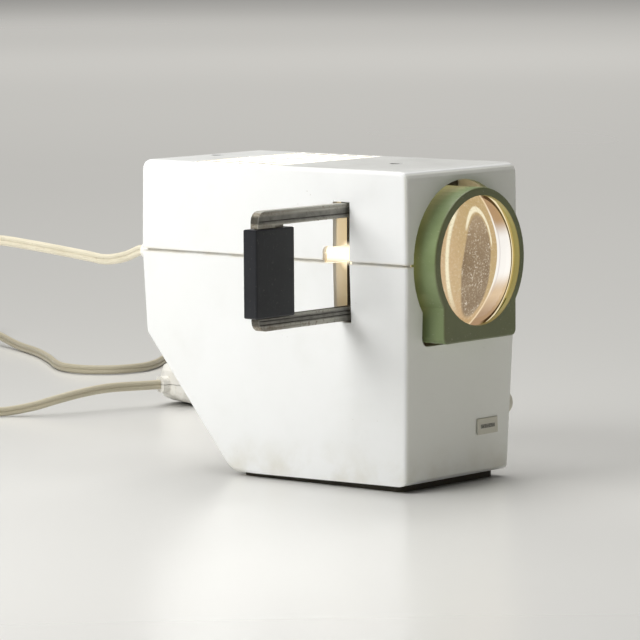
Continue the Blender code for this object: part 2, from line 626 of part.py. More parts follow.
def make_lens(sage, glass, black, steel):
    corner = 0.0030
    outline = keyhole(HOLDER_RADIUS, HOLDER_HALF, HOLDER_BOTTOM, corner)
    edge = 0.0008

    def shrunk(by):
        return keyhole(HOLDER_RADIUS - by, HOLDER_HALF - by, HOLDER_BOTTOM + by, corner - by)

    rings = [[(x, HOLDER_FRONT, z) for x, z in shrunk(edge)]]
    rings += [[(x, HOLDER_FRONT + edge * 0.3, z) for x, z in shrunk(edge * 0.3)]]
    rings += [[(x, y, z) for x, z in outline] for y in (HOLDER_FRONT + edge, HOLDER_BACK)]
    holder = add("lens_holder", loft(rings), sage)
    wall = HOLDER_WALL
    inside = keyhole(HOLDER_RADIUS - wall, HOLDER_HALF - wall, HOLDER_BOTTOM + wall, 0.001)
    cut(holder, prism(inside, HOLDER_FRONT + HOLDER_FACE, HOLDER_BACK + 0.01, "Y"))
    cut(holder, cylinder(LENS_OPENING, -0.12, -0.06, "Y", 48), (0, 0, AXIS_Z))
    for side in (-1, 1):
        cut(holder, cylinder(0.0015, 0.060, 0.072, "Z", 12), (side * 0.0100, -0.0600, 0))
    smooth(holder, 30)
    seat = HOLDER_FRONT + HOLDER_FACE + GAP
    lens = turned(lens_profile(LENS_RADIUS, LENS_EDGE, LENS_BULGE, 6), "Y", 48)
    flat = seat + LENS_EDGE + 0.0012
    smooth(add("front_lens", lens, glass, (0, flat, AXIS_Z)))
    retainer = ring(LENS_RADIUS, LENS_RADIUS - 0.0028, flat + GAP, flat + 0.0022, "Y", 40)
    smooth(add("lens_retaining_ring", retainer, black, (0, 0, AXIS_Z)))
    carriage = add("lens_carriage", box((-0.0250, -0.0635, 0.0612), (0.0250, -0.0290, 0.0628)), steel)
    for side in (-1, 1):
        low, high = sorted((side * 0.0165, side * 0.0235))
        join(carriage, box((low, -0.0590, 0.0535), (high, -0.0440, 0.0620)))
        cut(carriage, cylinder(ROD_RADIUS + GAP, -0.080, -0.030, "Y", 16), (side * ROD_X, 0, ROD_Z))
        low, high = sorted((side * 0.0075, side * 0.0128))
        join(carriage, box((low, -0.0630, 0.0620), (high, -0.0570, HOLDER_BOTTOM - GAP)))
        cut(carriage, cylinder(0.0015, 0.055, 0.075, "Z", 12), (side * 0.0100, -0.0600, 0))
    pin_y = SHAFT_Y + PIN_REST_OFFSET
    slot = PIN_RADIUS + 0.0006
    join(carriage, box((-0.0013, pin_y - 0.0034, 0.0500), (0.0013, pin_y + 0.0034, 0.0620)))
    cut(carriage, box((-0.0030, pin_y - slot, 0.0480), (0.0030, pin_y + slot, 0.0602)))
    for name, x in (("holder_screw_left", -0.0100), ("holder_screw_right", 0.0100)):
        screw(name, (x, -0.0600, 0.0609), 0.0024, 0.0013, 0.0012, 0.0078, steel, up=False)


def make_focus_drive(steel, brass, knob_finish):
    origin = (0, SHAFT_Y, SHAFT_Z)
    smooth(add("focus_shaft", cylinder(SHAFT_RADIUS, -0.0110, KNOB_END - 0.0025, "X", 16), steel, origin))
    crank = add("focus_crank", ring(0.0044, SHAFT_RADIUS + GAP, -0.0060, -0.0030, "X", 20), brass, origin)
    lean = asin(PIN_REST_OFFSET / CRANK_ARM)
    arm = [(-0.0024, 0.0040), (0.0024, 0.0040), (0.0019, CRANK_ARM + 0.0019), (-0.0019, CRANK_ARM + 0.0019)]
    turned_arm = [(a * cos(lean) + b * sin(lean), b * cos(lean) - a * sin(lean)) for a, b in arm]
    join(crank, prism(turned_arm, -0.0060, -0.0038, "X"), origin)
    pin = (0, SHAFT_Y + CRANK_ARM * sin(lean), SHAFT_Z + CRANK_ARM * cos(lean))
    join(crank, cylinder(PIN_RADIUS, -0.0050, 0.0026, "X", 12), pin)
    smooth(crank)
    wall_inside = half_size(SHAFT_Z, WALL)[0]
    bore, flange, outside = SHAFT_RADIUS + GAP, wall_inside - 0.0006, KNOB_START - 0.0004
    bush = [(bore, flange - 0.0014), (0.0060, flange - 0.0014), (0.0060, flange)]
    bush += [(0.0040, flange), (0.0040, outside), (bore, outside)]
    smooth(add("focus_bush", turned(bush, "X", 20), brass, origin))
    bearing = [(-0.0700, 0.0068), (-0.0600, 0.0068), (-0.0600, 0.0385), (-0.0700, 0.0385)]
    bracket = add("shaft_bracket", prism(bearing, -0.0098, -0.0084, "X"), steel)
    cut(bracket, cylinder(SHAFT_RADIUS + GAP, -0.02, 0.0, "X", 16), origin)
    rim = [(0, KNOB_END), (0, KNOB_START), (KNOB_RADIUS, KNOB_START), (KNOB_RADIUS, KNOB_END - 0.0012)]
    rim += [(KNOB_RADIUS - 0.0004, KNOB_END - 0.0003), (KNOB_RADIUS - 0.0013, KNOB_END)]
    knob = add("focus_knob", turned(list(reversed(rim)), "X", 36), knob_finish, origin)
    cut(knob, cylinder(SHAFT_RADIUS + GAP, KNOB_START - 0.005, KNOB_END - 0.0022, "X", 16), origin)
    smooth(knob)


def make_carrier(steel, black):
    front, rear = CARRIER_Y - CARRIER_THICK / 2, CARRIER_Y + CARRIER_THICK / 2
    corner = 0.0045
    outline = [(CARRIER_RIGHT, CARRIER_TOP)]
    outline += arc((CARRIER_LEFT + corner, CARRIER_TOP - corner), corner, 90, 180, 4)
    outline += arc((CARRIER_LEFT + corner, CARRIER_BOTTOM + corner), corner, 180, 270, 4)
    outline += [(CARRIER_RIGHT, CARRIER_BOTTOM)]
    frame = add("carrier_frame", prism(outline, front, rear, "Y"), steel)
    clear_low, clear_high = HANDLE_Z[0] - GAP, HANDLE_Z[1] + GAP
    low, high = CARRIER_BOTTOM + RAIL - 0.0002, CARRIER_TOP - RAIL
    cut(frame, box((WINDOW_LEFT, front - 0.01, low), (POCKET_RIGHT, rear + 0.01, high)))
    cut(frame, box((-0.1200, front - 0.01, clear_low), (HANDLE_X[1] + GAP, rear + 0.01, clear_high)))
    cut(frame, box((POCKET_LEFT, CARRIER_Y - 0.0014, 0.0783), (POCKET_RIGHT, CARRIER_Y + 0.0014, 0.1286)))
    left, right, bottom = CARRIER_LEFT + 0.0008, POCKET_RIGHT + 0.002, front + 0.0006
    for z in (0.1252, 0.0812, 0.0795):
        cut(frame, box((left, front - 0.01, z), (right, bottom, z + 0.0005)))
    join(frame, box((-0.1020, CARRIER_Y - 0.0006, 0.0790), (-0.0840, CARRIER_Y + 0.0006, 0.1278)))
    low, high = (CARRIER_RIGHT - 0.0030, front + 0.0012, 0.0718), (CARRIER_RIGHT, rear - 0.0012, 0.0780)
    join(frame, box(low, high))
    low, high = zip(HANDLE_X, HANDLE_Y, HANDLE_Z)
    handle = add("carrier_handle", rounded_box(low, high, 0.0007, 2), black)
    cut(handle, box((-0.1023, CARRIER_Y - 0.0009, 0.0), (-0.0837, CARRIER_Y + 0.0009, 0.2)))
    smooth(handle, 30)


# ---------------------------------------------------------------- mains lead


def along(start, angle, distance, height=None):
    x, y, z = start
    return (x + distance * cos(angle), y + distance * sin(angle), z if height is None else height)


def make_switch(ivory, slider_finish):
    """An in-line switch lying on the table: a base, a cover and the slider on top."""
    half_height, length = SWITCH_START[2] - GAP, SWITCH_LENGTH
    collar = 0.00425
    ends = [(0.0, collar, collar, collar), (0.0040, collar, collar, collar)]
    ends += [(0.0050, 0.0078, 0.0068, 0.0058), (0.0078, 0.0110, 0.0094, 0.0080)]
    ends += [(0.0130, 0.0136, 0.0108, 0.0100), (0.0200, 0.0150, half_height, half_height)]
    stations = ends + [(length - t, *size) for t, *size in reversed(ends)]

    def base_section(t, w, deep):
        k, rise = max(w * 0.26, 0.0026), max(deep * 0.36, 0.0026)
        outline = [(-w + k, -deep), (w - k, -deep), (w - k * 0.3, -deep + rise * 0.35)]
        outline += [(w, -deep + rise), (w, -GAP / 2), (-w, -GAP / 2)]
        outline += [(-w, -deep + rise), (-w + k * 0.3, -deep + rise * 0.35)]
        return [(t, y, z) for y, z in outline]

    def cover_section(t, w, high):
        k = min(0.0034, w * 0.8, high * 0.8)
        outline = [(-w, GAP / 2), (w, GAP / 2)] + arc((w - k, high - k), k, 0, 90, 4)
        outline += arc((-w + k, high - k), k, 90, 180, 4)
        return [(t, y, z) for y, z in outline]

    turn = (0, 0, SWITCH_ANGLE)
    base = loft([base_section(t, w, deep) for t, w, _, deep in stations])
    smooth(add("cord_switch_base", base, ivory, SWITCH_START, turn), 40)
    cover = loft([cover_section(t, w, high) for t, w, high, _ in stations])
    cover = add("cord_switch_cover", cover, ivory, SWITCH_START)
    slot = box((0.0225, -0.0048, half_height - 0.0022), (0.0395, 0.0048, half_height + 0.01))
    cut(cover, slot, SWITCH_START)
    cover.rotation_euler = turn
    smooth(cover, 40)
    low, high = (-0.0040, -0.0043, 0.0), (0.0040, 0.0043, 0.0042)
    origin = along(SWITCH_START, SWITCH_ANGLE, 0.0270, SWITCH_START[2] + half_height - 0.0019)
    smooth(add("cord_switch_slider", rounded_box(low, high, 0.0008, 2), slider_finish, origin, turn), 40)


def make_cords(ivory):
    start = (GLAND[0], GLAND[1] + GAP, GLAND[2])
    entry = along(SWITCH_START, SWITCH_ANGLE, -GAP)
    first = [
        start,
        (-0.0300, 0.0905, 0.1010), (-0.0300, 0.0990, 0.0978), (-0.0300, 0.1120, 0.0955),
        (-0.0300, 0.1235, 0.0965), (-0.0300, 0.1360, 0.0977), (-0.0300, 0.1615, 0.0999),
        (-0.0300, 0.1820, 0.1012), (-0.0285, 0.2010, 0.1000), (-0.0220, 0.2230, 0.0940),
        (-0.0105, 0.2420, 0.0820), (0.0040, 0.2580, 0.0640), (0.0165, 0.2690, 0.0430),
        (0.0265, 0.2745, 0.0220), (0.0370, 0.2740, 0.0080), (0.0500, 0.2650, 0.0027),
        (0.0640, 0.2520, 0.0048), (0.0735, 0.2440, 0.0080), (0.0870, 0.2385, 0.0106),
        (0.1025, 0.2342, 0.0120), (0.1180, 0.2296, 0.0119),
        along(SWITCH_START, SWITCH_ANGLE, -0.0050), entry,
    ]
    tube("cord_to_switch", first, CORD_RADIUS, ivory, 0.012)
    cx, cy = COIL_CENTRE
    outer = COIL_MEAN + COIL_STEP
    low, high = 0.0001, 0.0001 + 2 * COIL_STEP
    reach = outer + COIL_STEP / 2
    profile = [(reach - 2 * COIL_STEP - COIL_STEP, low), (reach - 0.001, low), (reach, low + 0.001)]
    profile += [(reach, high - 0.001), (reach - 0.001, high), (reach - 3 * COIL_STEP, high)]
    smooth(add("cord_coil", turned(profile, "Z", 36), ivory, (cx, cy, 0)))
    drop = [(GAP, 0.0117), (0.0050, 0.0117), (0.0100, 0.0112), (0.0150, 0.0097), (0.0193, 0.0072)]
    drop += [(0.0236, 0.0047), (0.0286, 0.0032), (0.0336, 0.0027), (0.0347, 0.0027)]
    second = [along(SWITCH_START, SWITCH_ANGLE, SWITCH_LENGTH + t, z) for t, z in drop]
    tube("cord_from_switch", second, CORD_RADIUS, ivory, 0.008)
    third = [
        (0.2842, 0.2367, 0.0067), (0.2905, 0.2590, 0.0040), (0.3010, 0.2810, 0.0028),
        (0.3130, 0.3000, 0.0027), (0.3250, 0.3180, 0.0027), (0.3337, 0.3325, 0.0027),
        (0.3369, 0.3445, 0.0027), (0.3337, 0.3565, 0.0027), (0.3249, 0.3653, 0.0027),
        (0.3129, 0.3685, 0.0027), (0.3010, 0.3653, 0.0027), (0.2900, 0.3590, 0.0027),
        (0.2795, 0.3529, 0.0027), (0.2615, 0.3425, 0.0027), (0.2430, 0.3370, 0.0027),
        (0.2262, 0.3415, 0.0027), (0.2165, 0.3545, 0.0027), (0.2170, 0.3705, 0.0027),
        (0.2260, 0.3865, 0.0027), (0.2410, 0.4050, 0.0027), (0.2625, 0.4350, 0.0027),
        (0.2825, 0.4710, 0.0030), (0.2965, 0.4990, 0.0055),
        along(PLUG_START, PLUG_ANGLE, -0.0050), along(PLUG_START, PLUG_ANGLE, -GAP),
    ]
    tube("cord_to_plug", third, CORD_RADIUS, ivory, 0.012)


def make_plug(ivory, pin_finish):
    """A flat two-pin plug lying on the table."""
    turn = (0, 0, PLUG_ANGLE)
    rings = []
    sections = ((0, 0.0045, 0.0040), (0.0080, 0.0060, 0.0050))
    sections += ((0.0120, 0.0115, 0.0068), (0.0350, 0.0128, 0.0068))
    for t, width, height in sections:
        k = min(width, height) * 0.45
        outline = []
        for sy, sz, start in ((1, 1, 0), (-1, 1, 90), (-1, -1, 180), (1, -1, 270)):
            outline += arc((sy * (width - k), sz * (height - k)), k, start, start + 90, 3)
        rings.append([(t, y, z) for y, z in outline])
    body = add("plug_body", loft(rings), ivory, PLUG_START)
    for side in (-1, 1):
        cut(body, cylinder(0.0023, 0.0280, 0.040, "X", 12), along(PLUG_START, pi / 2, side * 0.0093))
    body.rotation_euler = turn
    smooth(body, 40)
    for name, side in (("plug_pin_left", 1), ("plug_pin_right", -1)):
        profile = [(0, 0.0284), (0.0020, 0.0284), (0.0020, 0.0530), (0.0012, 0.0540), (0, 0.0540)]
        offset = along(PLUG_START, PLUG_ANGLE + pi / 2, side * 0.0093)
        smooth(add(name, turned(profile, "X", 12), pin_finish, offset, turn))


def main():
    clear_scene()
    cream = material("case_cream", CREAM, 0.35)
    ivory = material("cord_ivory", IVORY, 0.45)
    sage = material("holder_sage", SAGE, 0.5)
    steel = material("sheet_steel", STEEL, 0.45, 1.0)
    chrome = material("mirror_chrome", (0.85, 0.85, 0.85), 0.1, 1.0)
    spring_steel = material("spring_steel", (0.5, 0.5, 0.5), 0.3, 1.0)
    brass = material("brass", BRASS, 0.35, 1.0)
    black = material("black_plastic", BLACK, 0.4)
    brown = material("base_brown", BROWN, 0.7)
    glass = material("clear_glass", GLASS, 0.02)
    opal = material("opal_glass", (0.92, 0.90, 0.84), 0.3)
    ceramic = material("ceramic", (0.85, 0.83, 0.78), 0.5)
    laminated = material("laminations", (0.16, 0.15, 0.14), 0.6, 0.6)
    winding = material("winding_tape", (0.52, 0.34, 0.12), 0.6)
    knob = material("knob_white", (0.78, 0.77, 0.73), 0.4)
    badge = material("badge_beige", (0.66, 0.63, 0.52), 0.4)
    make_case(cream, brown, steel, badge)
    make_chassis(steel)
    make_gate(steel, black, spring_steel)
    make_lamp_side(glass, opal, steel, chrome, brass, ceramic, black)
    make_electrics(laminated, winding, ceramic, ivory)
    make_lens(sage, glass, black, steel)
    make_focus_drive(steel, brass, knob)
    make_carrier(steel, black)
    make_switch(ivory, knob)
    make_cords(ivory)
    make_plug(ivory, chrome)


main()
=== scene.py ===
"""Looks for the slide viewer: camera, mains lead, surfaces, fine detail, lamp glow and a plain studio."""

from math import cos, pi, radians, sin, sqrt

import bmesh
import bpy
from mathutils import Matrix, Vector


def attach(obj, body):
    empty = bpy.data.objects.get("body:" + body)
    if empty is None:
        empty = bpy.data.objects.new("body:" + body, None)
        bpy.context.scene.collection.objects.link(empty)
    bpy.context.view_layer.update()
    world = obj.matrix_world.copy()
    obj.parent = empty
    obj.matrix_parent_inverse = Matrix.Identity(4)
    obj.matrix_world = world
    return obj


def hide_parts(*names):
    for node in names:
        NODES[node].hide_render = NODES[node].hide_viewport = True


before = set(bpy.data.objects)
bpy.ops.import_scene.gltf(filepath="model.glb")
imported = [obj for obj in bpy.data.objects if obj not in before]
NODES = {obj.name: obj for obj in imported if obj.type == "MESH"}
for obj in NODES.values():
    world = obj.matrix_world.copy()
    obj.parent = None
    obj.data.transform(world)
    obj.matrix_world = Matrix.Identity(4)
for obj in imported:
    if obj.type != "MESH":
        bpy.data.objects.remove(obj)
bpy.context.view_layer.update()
scene = bpy.context.scene

# ---------------------------------------------------------------- camera

CAMERA_AZIMUTH, CAMERA_ELEVATION, CAMERA_ROLL = radians(-50.392), radians(5.981), radians(-0.371)
CAMERA_DISTANCE, CAMERA_SIDE, CAMERA_HEIGHT = 1.9414, -0.00386, 0.07088
CAMERA_LENS = 234.6


def make_camera():
    forward = Vector(
        (
            -sin(CAMERA_AZIMUTH) * cos(CAMERA_ELEVATION),
            cos(CAMERA_AZIMUTH) * cos(CAMERA_ELEVATION),
            -sin(CAMERA_ELEVATION),
        )
    )
    level = Vector((cos(CAMERA_AZIMUTH), sin(CAMERA_AZIMUTH), 0))
    upright = level.cross(forward)
    right = level * cos(CAMERA_ROLL) + upright * sin(CAMERA_ROLL)
    up = upright * cos(CAMERA_ROLL) - level * sin(CAMERA_ROLL)
    place = right * CAMERA_SIDE + Vector((0, 0, CAMERA_HEIGHT)) - forward * CAMERA_DISTANCE
    data = bpy.data.cameras.new("camera")
    data.sensor_width = 36
    data.lens = CAMERA_LENS
    data.clip_start, data.clip_end = 0.05, 50
    camera = bpy.data.objects.new("camera", data)
    axes = Matrix((right, up, -forward)).transposed().to_4x4()
    camera.matrix_world = Matrix.Translation(place) @ axes
    scene.collection.objects.link(camera)
    scene.camera = camera


make_camera()

# ---------------------------------------------------------------- node helpers


class Shader:
    """A material's node tree, built with short calls."""

    def __init__(self, name):
        self.material = bpy.data.materials.new(name)
        self.material.use_nodes = True
        self.tree = self.material.node_tree
        self.bsdf = self.tree.nodes["Principled BSDF"]

    def node(self, kind, **settings):
        made = self.tree.nodes.new(kind)
        inputs = settings.pop("inputs", {})
        for key, value in settings.items():
            setattr(made, key, value)
        for key, value in inputs.items():
            self.feed(made.inputs[key], value)
        return made

    def feed(self, socket, value):
        if isinstance(value, bpy.types.NodeSocket):
            self.tree.links.new(value, socket)
        else:
            socket.default_value = value

    def coords(self, scale=(1, 1, 1)):
        source = self.node("ShaderNodeTexCoord").outputs["Object"]
        if tuple(scale) == (1, 1, 1):
            return source
        return self.node("ShaderNodeMapping", inputs={"Vector": source, "Scale": scale}).outputs["Vector"]

    def noise(self, scale, detail=4.0, roughness=0.55, vector=None, distortion=0.0):
        inputs = {"Scale": scale, "Detail": detail, "Roughness": roughness, "Distortion": distortion}
        inputs["Vector"] = vector if vector is not None else self.coords()
        return self.node("ShaderNodeTexNoise", inputs=inputs).outputs["Fac"]

    def voronoi(self, scale, shift):
        moved = self.node("ShaderNodeMapping", inputs={"Vector": self.coords(), "Location": shift}).outputs[0]
        return self.node("ShaderNodeTexVoronoi", inputs={"Scale": scale, "Vector": moved}).outputs["Distance"]

    def remap(self, value, low, high, to_low=0.0, to_high=1.0, smooth=False):
        kind = "SMOOTHSTEP" if smooth else "LINEAR"
        inputs = {"Value": value, "From Min": low, "From Max": high, "To Min": to_low, "To Max": to_high}
        made = self.node("ShaderNodeMapRange", interpolation_type=kind, clamp=True, inputs=inputs)
        return made.outputs["Result"]

    def above(self, value, edge, soft=0.0001):
        """1 past the edge and 0 before it, changing within soft on either side."""
        return self.remap(value, edge - soft, edge + soft)

    def below(self, value, edge, soft=0.0001):
        return self.remap(value, edge - soft, edge + soft, 1, 0)

    def between(self, value, low, high, soft=0.0001):
        return self.mul(self.above(value, low, soft), self.below(value, high, soft))

    def math(self, operation, a, b=0.0):
        made = self.node("ShaderNodeMath", operation=operation)
        self.feed(made.inputs[0], a)
        self.feed(made.inputs[1], b)
        return made.outputs["Value"]

    def mul(self, a, b):
        return self.math("MULTIPLY", a, b)

    def add(self, a, b):
        return self.math("ADD", a, b)

    def sub(self, a, b):
        return self.math("SUBTRACT", a, b)

    def div(self, a, b):
        return self.math("DIVIDE", a, b)

    def max(self, a, b):
        return self.math("MAXIMUM", a, b)

    def abs(self, a):
        return self.math("ABSOLUTE", a)

    def sqrt(self, a):
        return self.math("SQRT", a)

    def mix(self, factor, a, b):
        made = self.node("ShaderNodeMix", data_type="RGBA", blend_type="MIX")
        self.feed(made.inputs[0], factor)
        self.feed(made.inputs[6], (*a, 1) if isinstance(a, tuple) else a)
        self.feed(made.inputs[7], (*b, 1) if isinstance(b, tuple) else b)
        return made.outputs[2]

    def split(self):
        made = self.node("ShaderNodeSeparateXYZ", inputs={"Vector": self.coords()})
        return made.outputs["X"], made.outputs["Y"], made.outputs["Z"]

    def axis_radius(self, x, z):
        """Distance from the optical axis."""
        up = self.sub(z, AXIS_HEIGHT)
        return self.sqrt(self.add(self.mul(x, x), self.mul(up, up)))

    def bump(self, height, strength, distance, normal=None):
        inputs = {"Height": height, "Strength": strength, "Distance": distance}
        if normal is not None:
            inputs["Normal"] = normal
        return self.node("ShaderNodeBump", inputs=inputs).outputs["Normal"]

    def set(self, **values):
        names = {
            "color": "Base Color", "roughness": "Roughness", "metallic": "Metallic", "normal": "Normal",
            "ior": "IOR", "transmission": "Transmission Weight", "specular": "Specular IOR Level",
            "emission": "Emission Color", "glow": "Emission Strength",
        }
        for key, value in values.items():
            socket = self.bsdf.inputs[names[key]]
            if isinstance(value, tuple) and len(value) == 3 and key in ("color", "emission"):
                value = (*value, 1)
            self.feed(socket, value)
        return self.material


# ---------------------------------------------------------------- materials

# The case: the height where its halves meet, the lens axis, the taper of its sides and the far ends of its
# hollow, sideways, lengthways and upwards.
SEAM_HEIGHT, AXIS_HEIGHT, DRAFT = 0.1031, 0.1034, 0.0349
HOLLOW_X, HOLLOW_Y, HOLLOW_TOP = 0.0391, 0.07715, 0.14295
FRONT_FACE, TOP_FACE = 0.0790, 0.1450
RECESS_RADIUS, BORE_RADIUS = 0.0368, 0.0312

# The slot for the carrier, in the left wall: its rear cheek, and the notch in that cheek at mid-height.
CHEEK_INNER_X, CHEEK_Y, CHEEK_Z = -0.0299, (-0.0373, -0.0367), (0.0758, 0.1304)
NOTCH_Y, NOTCH_Z = (-0.0365, -0.0308), (0.1023, 0.1102)
BEAM_HEIGHT = 0.1058

# The vent in the top, and the part of the top round it that the painted shade leaves out.
VENT_Y, VENT_X, VENT_FLOOR = (-0.0031, 0.0464), (-0.0407, 0.0367), 0.1390
UNSHADED_Y, UNSHADED_RIGHT = (-0.0032, 0.0468), 0.0370

# The carrier's rails lie at equal distances above and below the middle of the frame.
CARRIER_MIDDLE, RAIL_OFFSET = 0.10345, 0.0226

LAMP_HOUSE_X, LAMP_HOUSE_Y = 0.02845, (-0.0094, 0.0524)
PLAQUE_BAR, PLAQUE_BAR_HALF = (0.0203, 0.0253), (0.0053, 0.0009)


def case_plastic():
    """Off-white moulded plastic: satin grain, faint yellowing, specks, rubs, painted shade on the front face
    and the top, and painted lamplight glowing on the inside.
    """
    m = Shader("case_plastic")
    x, y, z = m.split()
    warm = m.noise(9.0, 5, 0.6)
    cloud = m.noise(38.0, 4, 0.6)
    tone = m.mix(m.remap(warm, 0.35, 0.7), (0.822, 0.830, 0.828), (0.785, 0.792, 0.780))
    tone = m.mix(m.remap(cloud, 0.55, 0.8, 0, 0.35), tone, (0.730, 0.735, 0.712))
    taper = m.mul(m.abs(m.sub(z, SEAM_HEIGHT)), DRAFT)
    # Painted shade: the front face is darker and warmer
    front = m.mul(m.above(m.add(m.abs(y), taper), FRONT_FACE, 0.0003), m.remap(y, 0, -0.01))
    tone = m.mix(m.mul(front, 0.4), tone, (0.745, 0.740, 0.620))
    # Painted shade on the top: mottled and deeper towards the front, leaving out the part round the vent
    vent_area = m.mul(m.between(y, *UNSHADED_Y, 0.0002), m.below(x, UNSHADED_RIGHT, 0.0002))
    top_shade = m.mul(m.remap(z, TOP_FACE - 0.0003, TOP_FACE + 0.0002), m.sub(1.0, vent_area))
    top_shade = m.mul(top_shade, m.remap(y, 0.050, -0.030, 0.50, 0.95))
    dust_and_shade = m.mix(m.remap(m.noise(24.0, 4), 0.35, 0.7), (0.615, 0.617, 0.600), (0.550, 0.550, 0.530))
    tone = m.mix(top_shade, tone, dust_and_shade)
    seam = m.remap(m.abs(m.sub(z, SEAM_HEIGHT)), 0.0006, 0.0016, 1, 0)
    seam_dirt = m.mul(seam, m.remap(m.noise(120.0, 4), 0.35, 0.6, 0.35, 1.0))
    tone = m.mix(m.mul(seam_dirt, 0.50), tone, (0.64, 0.58, 0.45))
    foot = m.mul(m.remap(z, 0.006, 0.022, 0.45, 0), m.remap(m.noise(70.0, 5), 0.4, 0.7))
    tone = m.mix(foot, tone, (0.60, 0.57, 0.47))
    cell = m.voronoi(260.0, (3, 7, 1))
    speck = m.mul(m.remap(cell, 0.05, 0.11, 1, 0), m.remap(m.noise(21.0, 2), 0.56, 0.66))
    tone = m.mix(m.mul(speck, 0.4), tone, (0.40, 0.37, 0.30))
    scratch = m.noise(1.0, 3, 0.5, m.coords((900, 60, 260)), 0.4)
    scratch = m.remap(scratch, 0.70, 0.76)
    grain = m.noise(1800.0, 2, 0.5)
    wear = m.noise(65.0, 6, 0.65)
    rough = m.add(m.remap(wear, 0.35, 0.75, 0.30, 0.42), m.remap(grain, 0.3, 0.7, -0.02, 0.02))
    rough = m.add(rough, m.mul(scratch, 0.15))
    normal = m.bump(m.noise(900.0, 3, 0.6), 0.10, 0.0001)
    normal = m.bump(m.noise(26.0, 2, 0.5), 0.10, 0.0006, normal)
    # Painted lamplight glowing on the inner faces
    depth_x = m.below(m.add(m.abs(x), taper), HOLLOW_X, 0.0003)
    depth_y = m.below(m.add(m.abs(y), taper), HOLLOW_Y, 0.00035)
    depth_z = m.mul(m.below(z, HOLLOW_TOP, 0.00035), m.remap(z, 0.050, 0.058))
    inside = m.mul(m.mul(depth_x, depth_y), depth_z)
    lamp = m.mul(m.remap(y, -0.030, 0.005, 0, 1.2), m.remap(z, 0.060, 0.105))
    lamp = m.add(m.remap(z, 0.055, 0.125, 0.0, 0.75), lamp)
    ahead = m.mul(m.remap(y, -0.058, -0.070, 0, 0.55), m.remap(z, 0.112, 0.128))
    lamp = m.mul(inside, m.add(m.mul(lamp, 0.75), ahead))
    # Painted glow for the light that leaks round the lens holder
    radius = m.axis_radius(x, z)
    leak = m.mul(m.below(radius, RECESS_RADIUS), m.remap(y, -0.0787, -0.0780))
    leak = m.mul(leak, m.mul(m.remap(y, -0.0720, -0.0700, 1, 0), m.remap(x, 0.000, 0.008, 1, 0)))
    leak = m.mul(leak, m.remap(m.noise(1.0, 2, 0.5, m.coords((110, 1, 40))), 0.42, 0.56, 0.06, 0.75))
    # Painted glow on the slot's rear cheek, the beam of light across it and the notch behind it
    within = m.below(x, CHEEK_INNER_X)
    cheek = m.mul(m.mul(m.between(y, *CHEEK_Y), m.between(z, *CHEEK_Z)), within)
    beam = m.div(m.sub(z, BEAM_HEIGHT), 0.0072)
    beam = m.add(m.mul(beam, beam), m.remap(x, -0.0420, -0.0330, 1.4, 0.1))
    spread = m.add(m.remap(x, -0.0412, -0.0320, 0.03, 0.30), m.remap(beam, 0.0, 1.4, 0.9, 0, True))
    cheek = m.mul(cheek, spread)
    notch = m.mul(m.mul(m.between(y, *NOTCH_Y), m.between(z, *NOTCH_Z)), within)
    fade = m.mul(m.remap(x, -0.0412, -0.0385, 0.1, 0.9), m.remap(y, -0.0308, -0.0335, 0.35, 1))
    notch = m.mul(notch, fade)
    # Painted glow in the vent's slots
    vents = m.mul(m.mul(m.above(z, VENT_FLOOR, 0.0005), m.below(z, TOP_FACE)), m.between(y, *VENT_Y))
    vents = m.mul(m.mul(vents, m.between(x, *VENT_X)), 0.80)
    light = m.max(m.max(lamp, leak), m.max(cheek, notch))
    colour = m.mix(m.remap(light, 0.5, 1.3), (0.95, 0.70, 0.36), (1.0, 0.90, 0.72))
    colour = m.mix(m.remap(vents, 0.2, 0.6), colour, (1.0, 0.95, 0.86))
    light = m.max(light, vents)
    return m.set(color=tone, roughness=rough, normal=normal, specular=0.5, emission=colour, glow=light)


def cord_vinyl(name, light, dark, shade_depth):
    m = Shader(name)
    tone = m.mix(m.remap(m.noise(60.0, 4), 0.3, 0.7), light, dark)
    tone = m.mix(m.remap(m.noise(420.0, 3), 0.62, 0.72, 0, 0.35), tone, (0.46, 0.40, 0.28))
    _, y, z = m.split()
    # Painted shade: the cord is darker far back and low down
    far_shade = m.mul(m.remap(y, 0.19, 0.23), m.remap(z, 0.020, 0.060, 1, 0))
    far_shade = m.mul(far_shade, m.remap(m.noise(30.0, 4), 0.3, 0.6, shade_depth, shade_depth * 0.7))
    tone = m.mix(far_shade, tone, (0.36, 0.32, 0.22))
    rough = m.remap(m.noise(150.0, 4), 0.3, 0.7, 0.30, 0.46)
    return m.set(color=tone, roughness=rough, normal=m.bump(m.noise(1500.0, 3), 0.12, 0.0001))


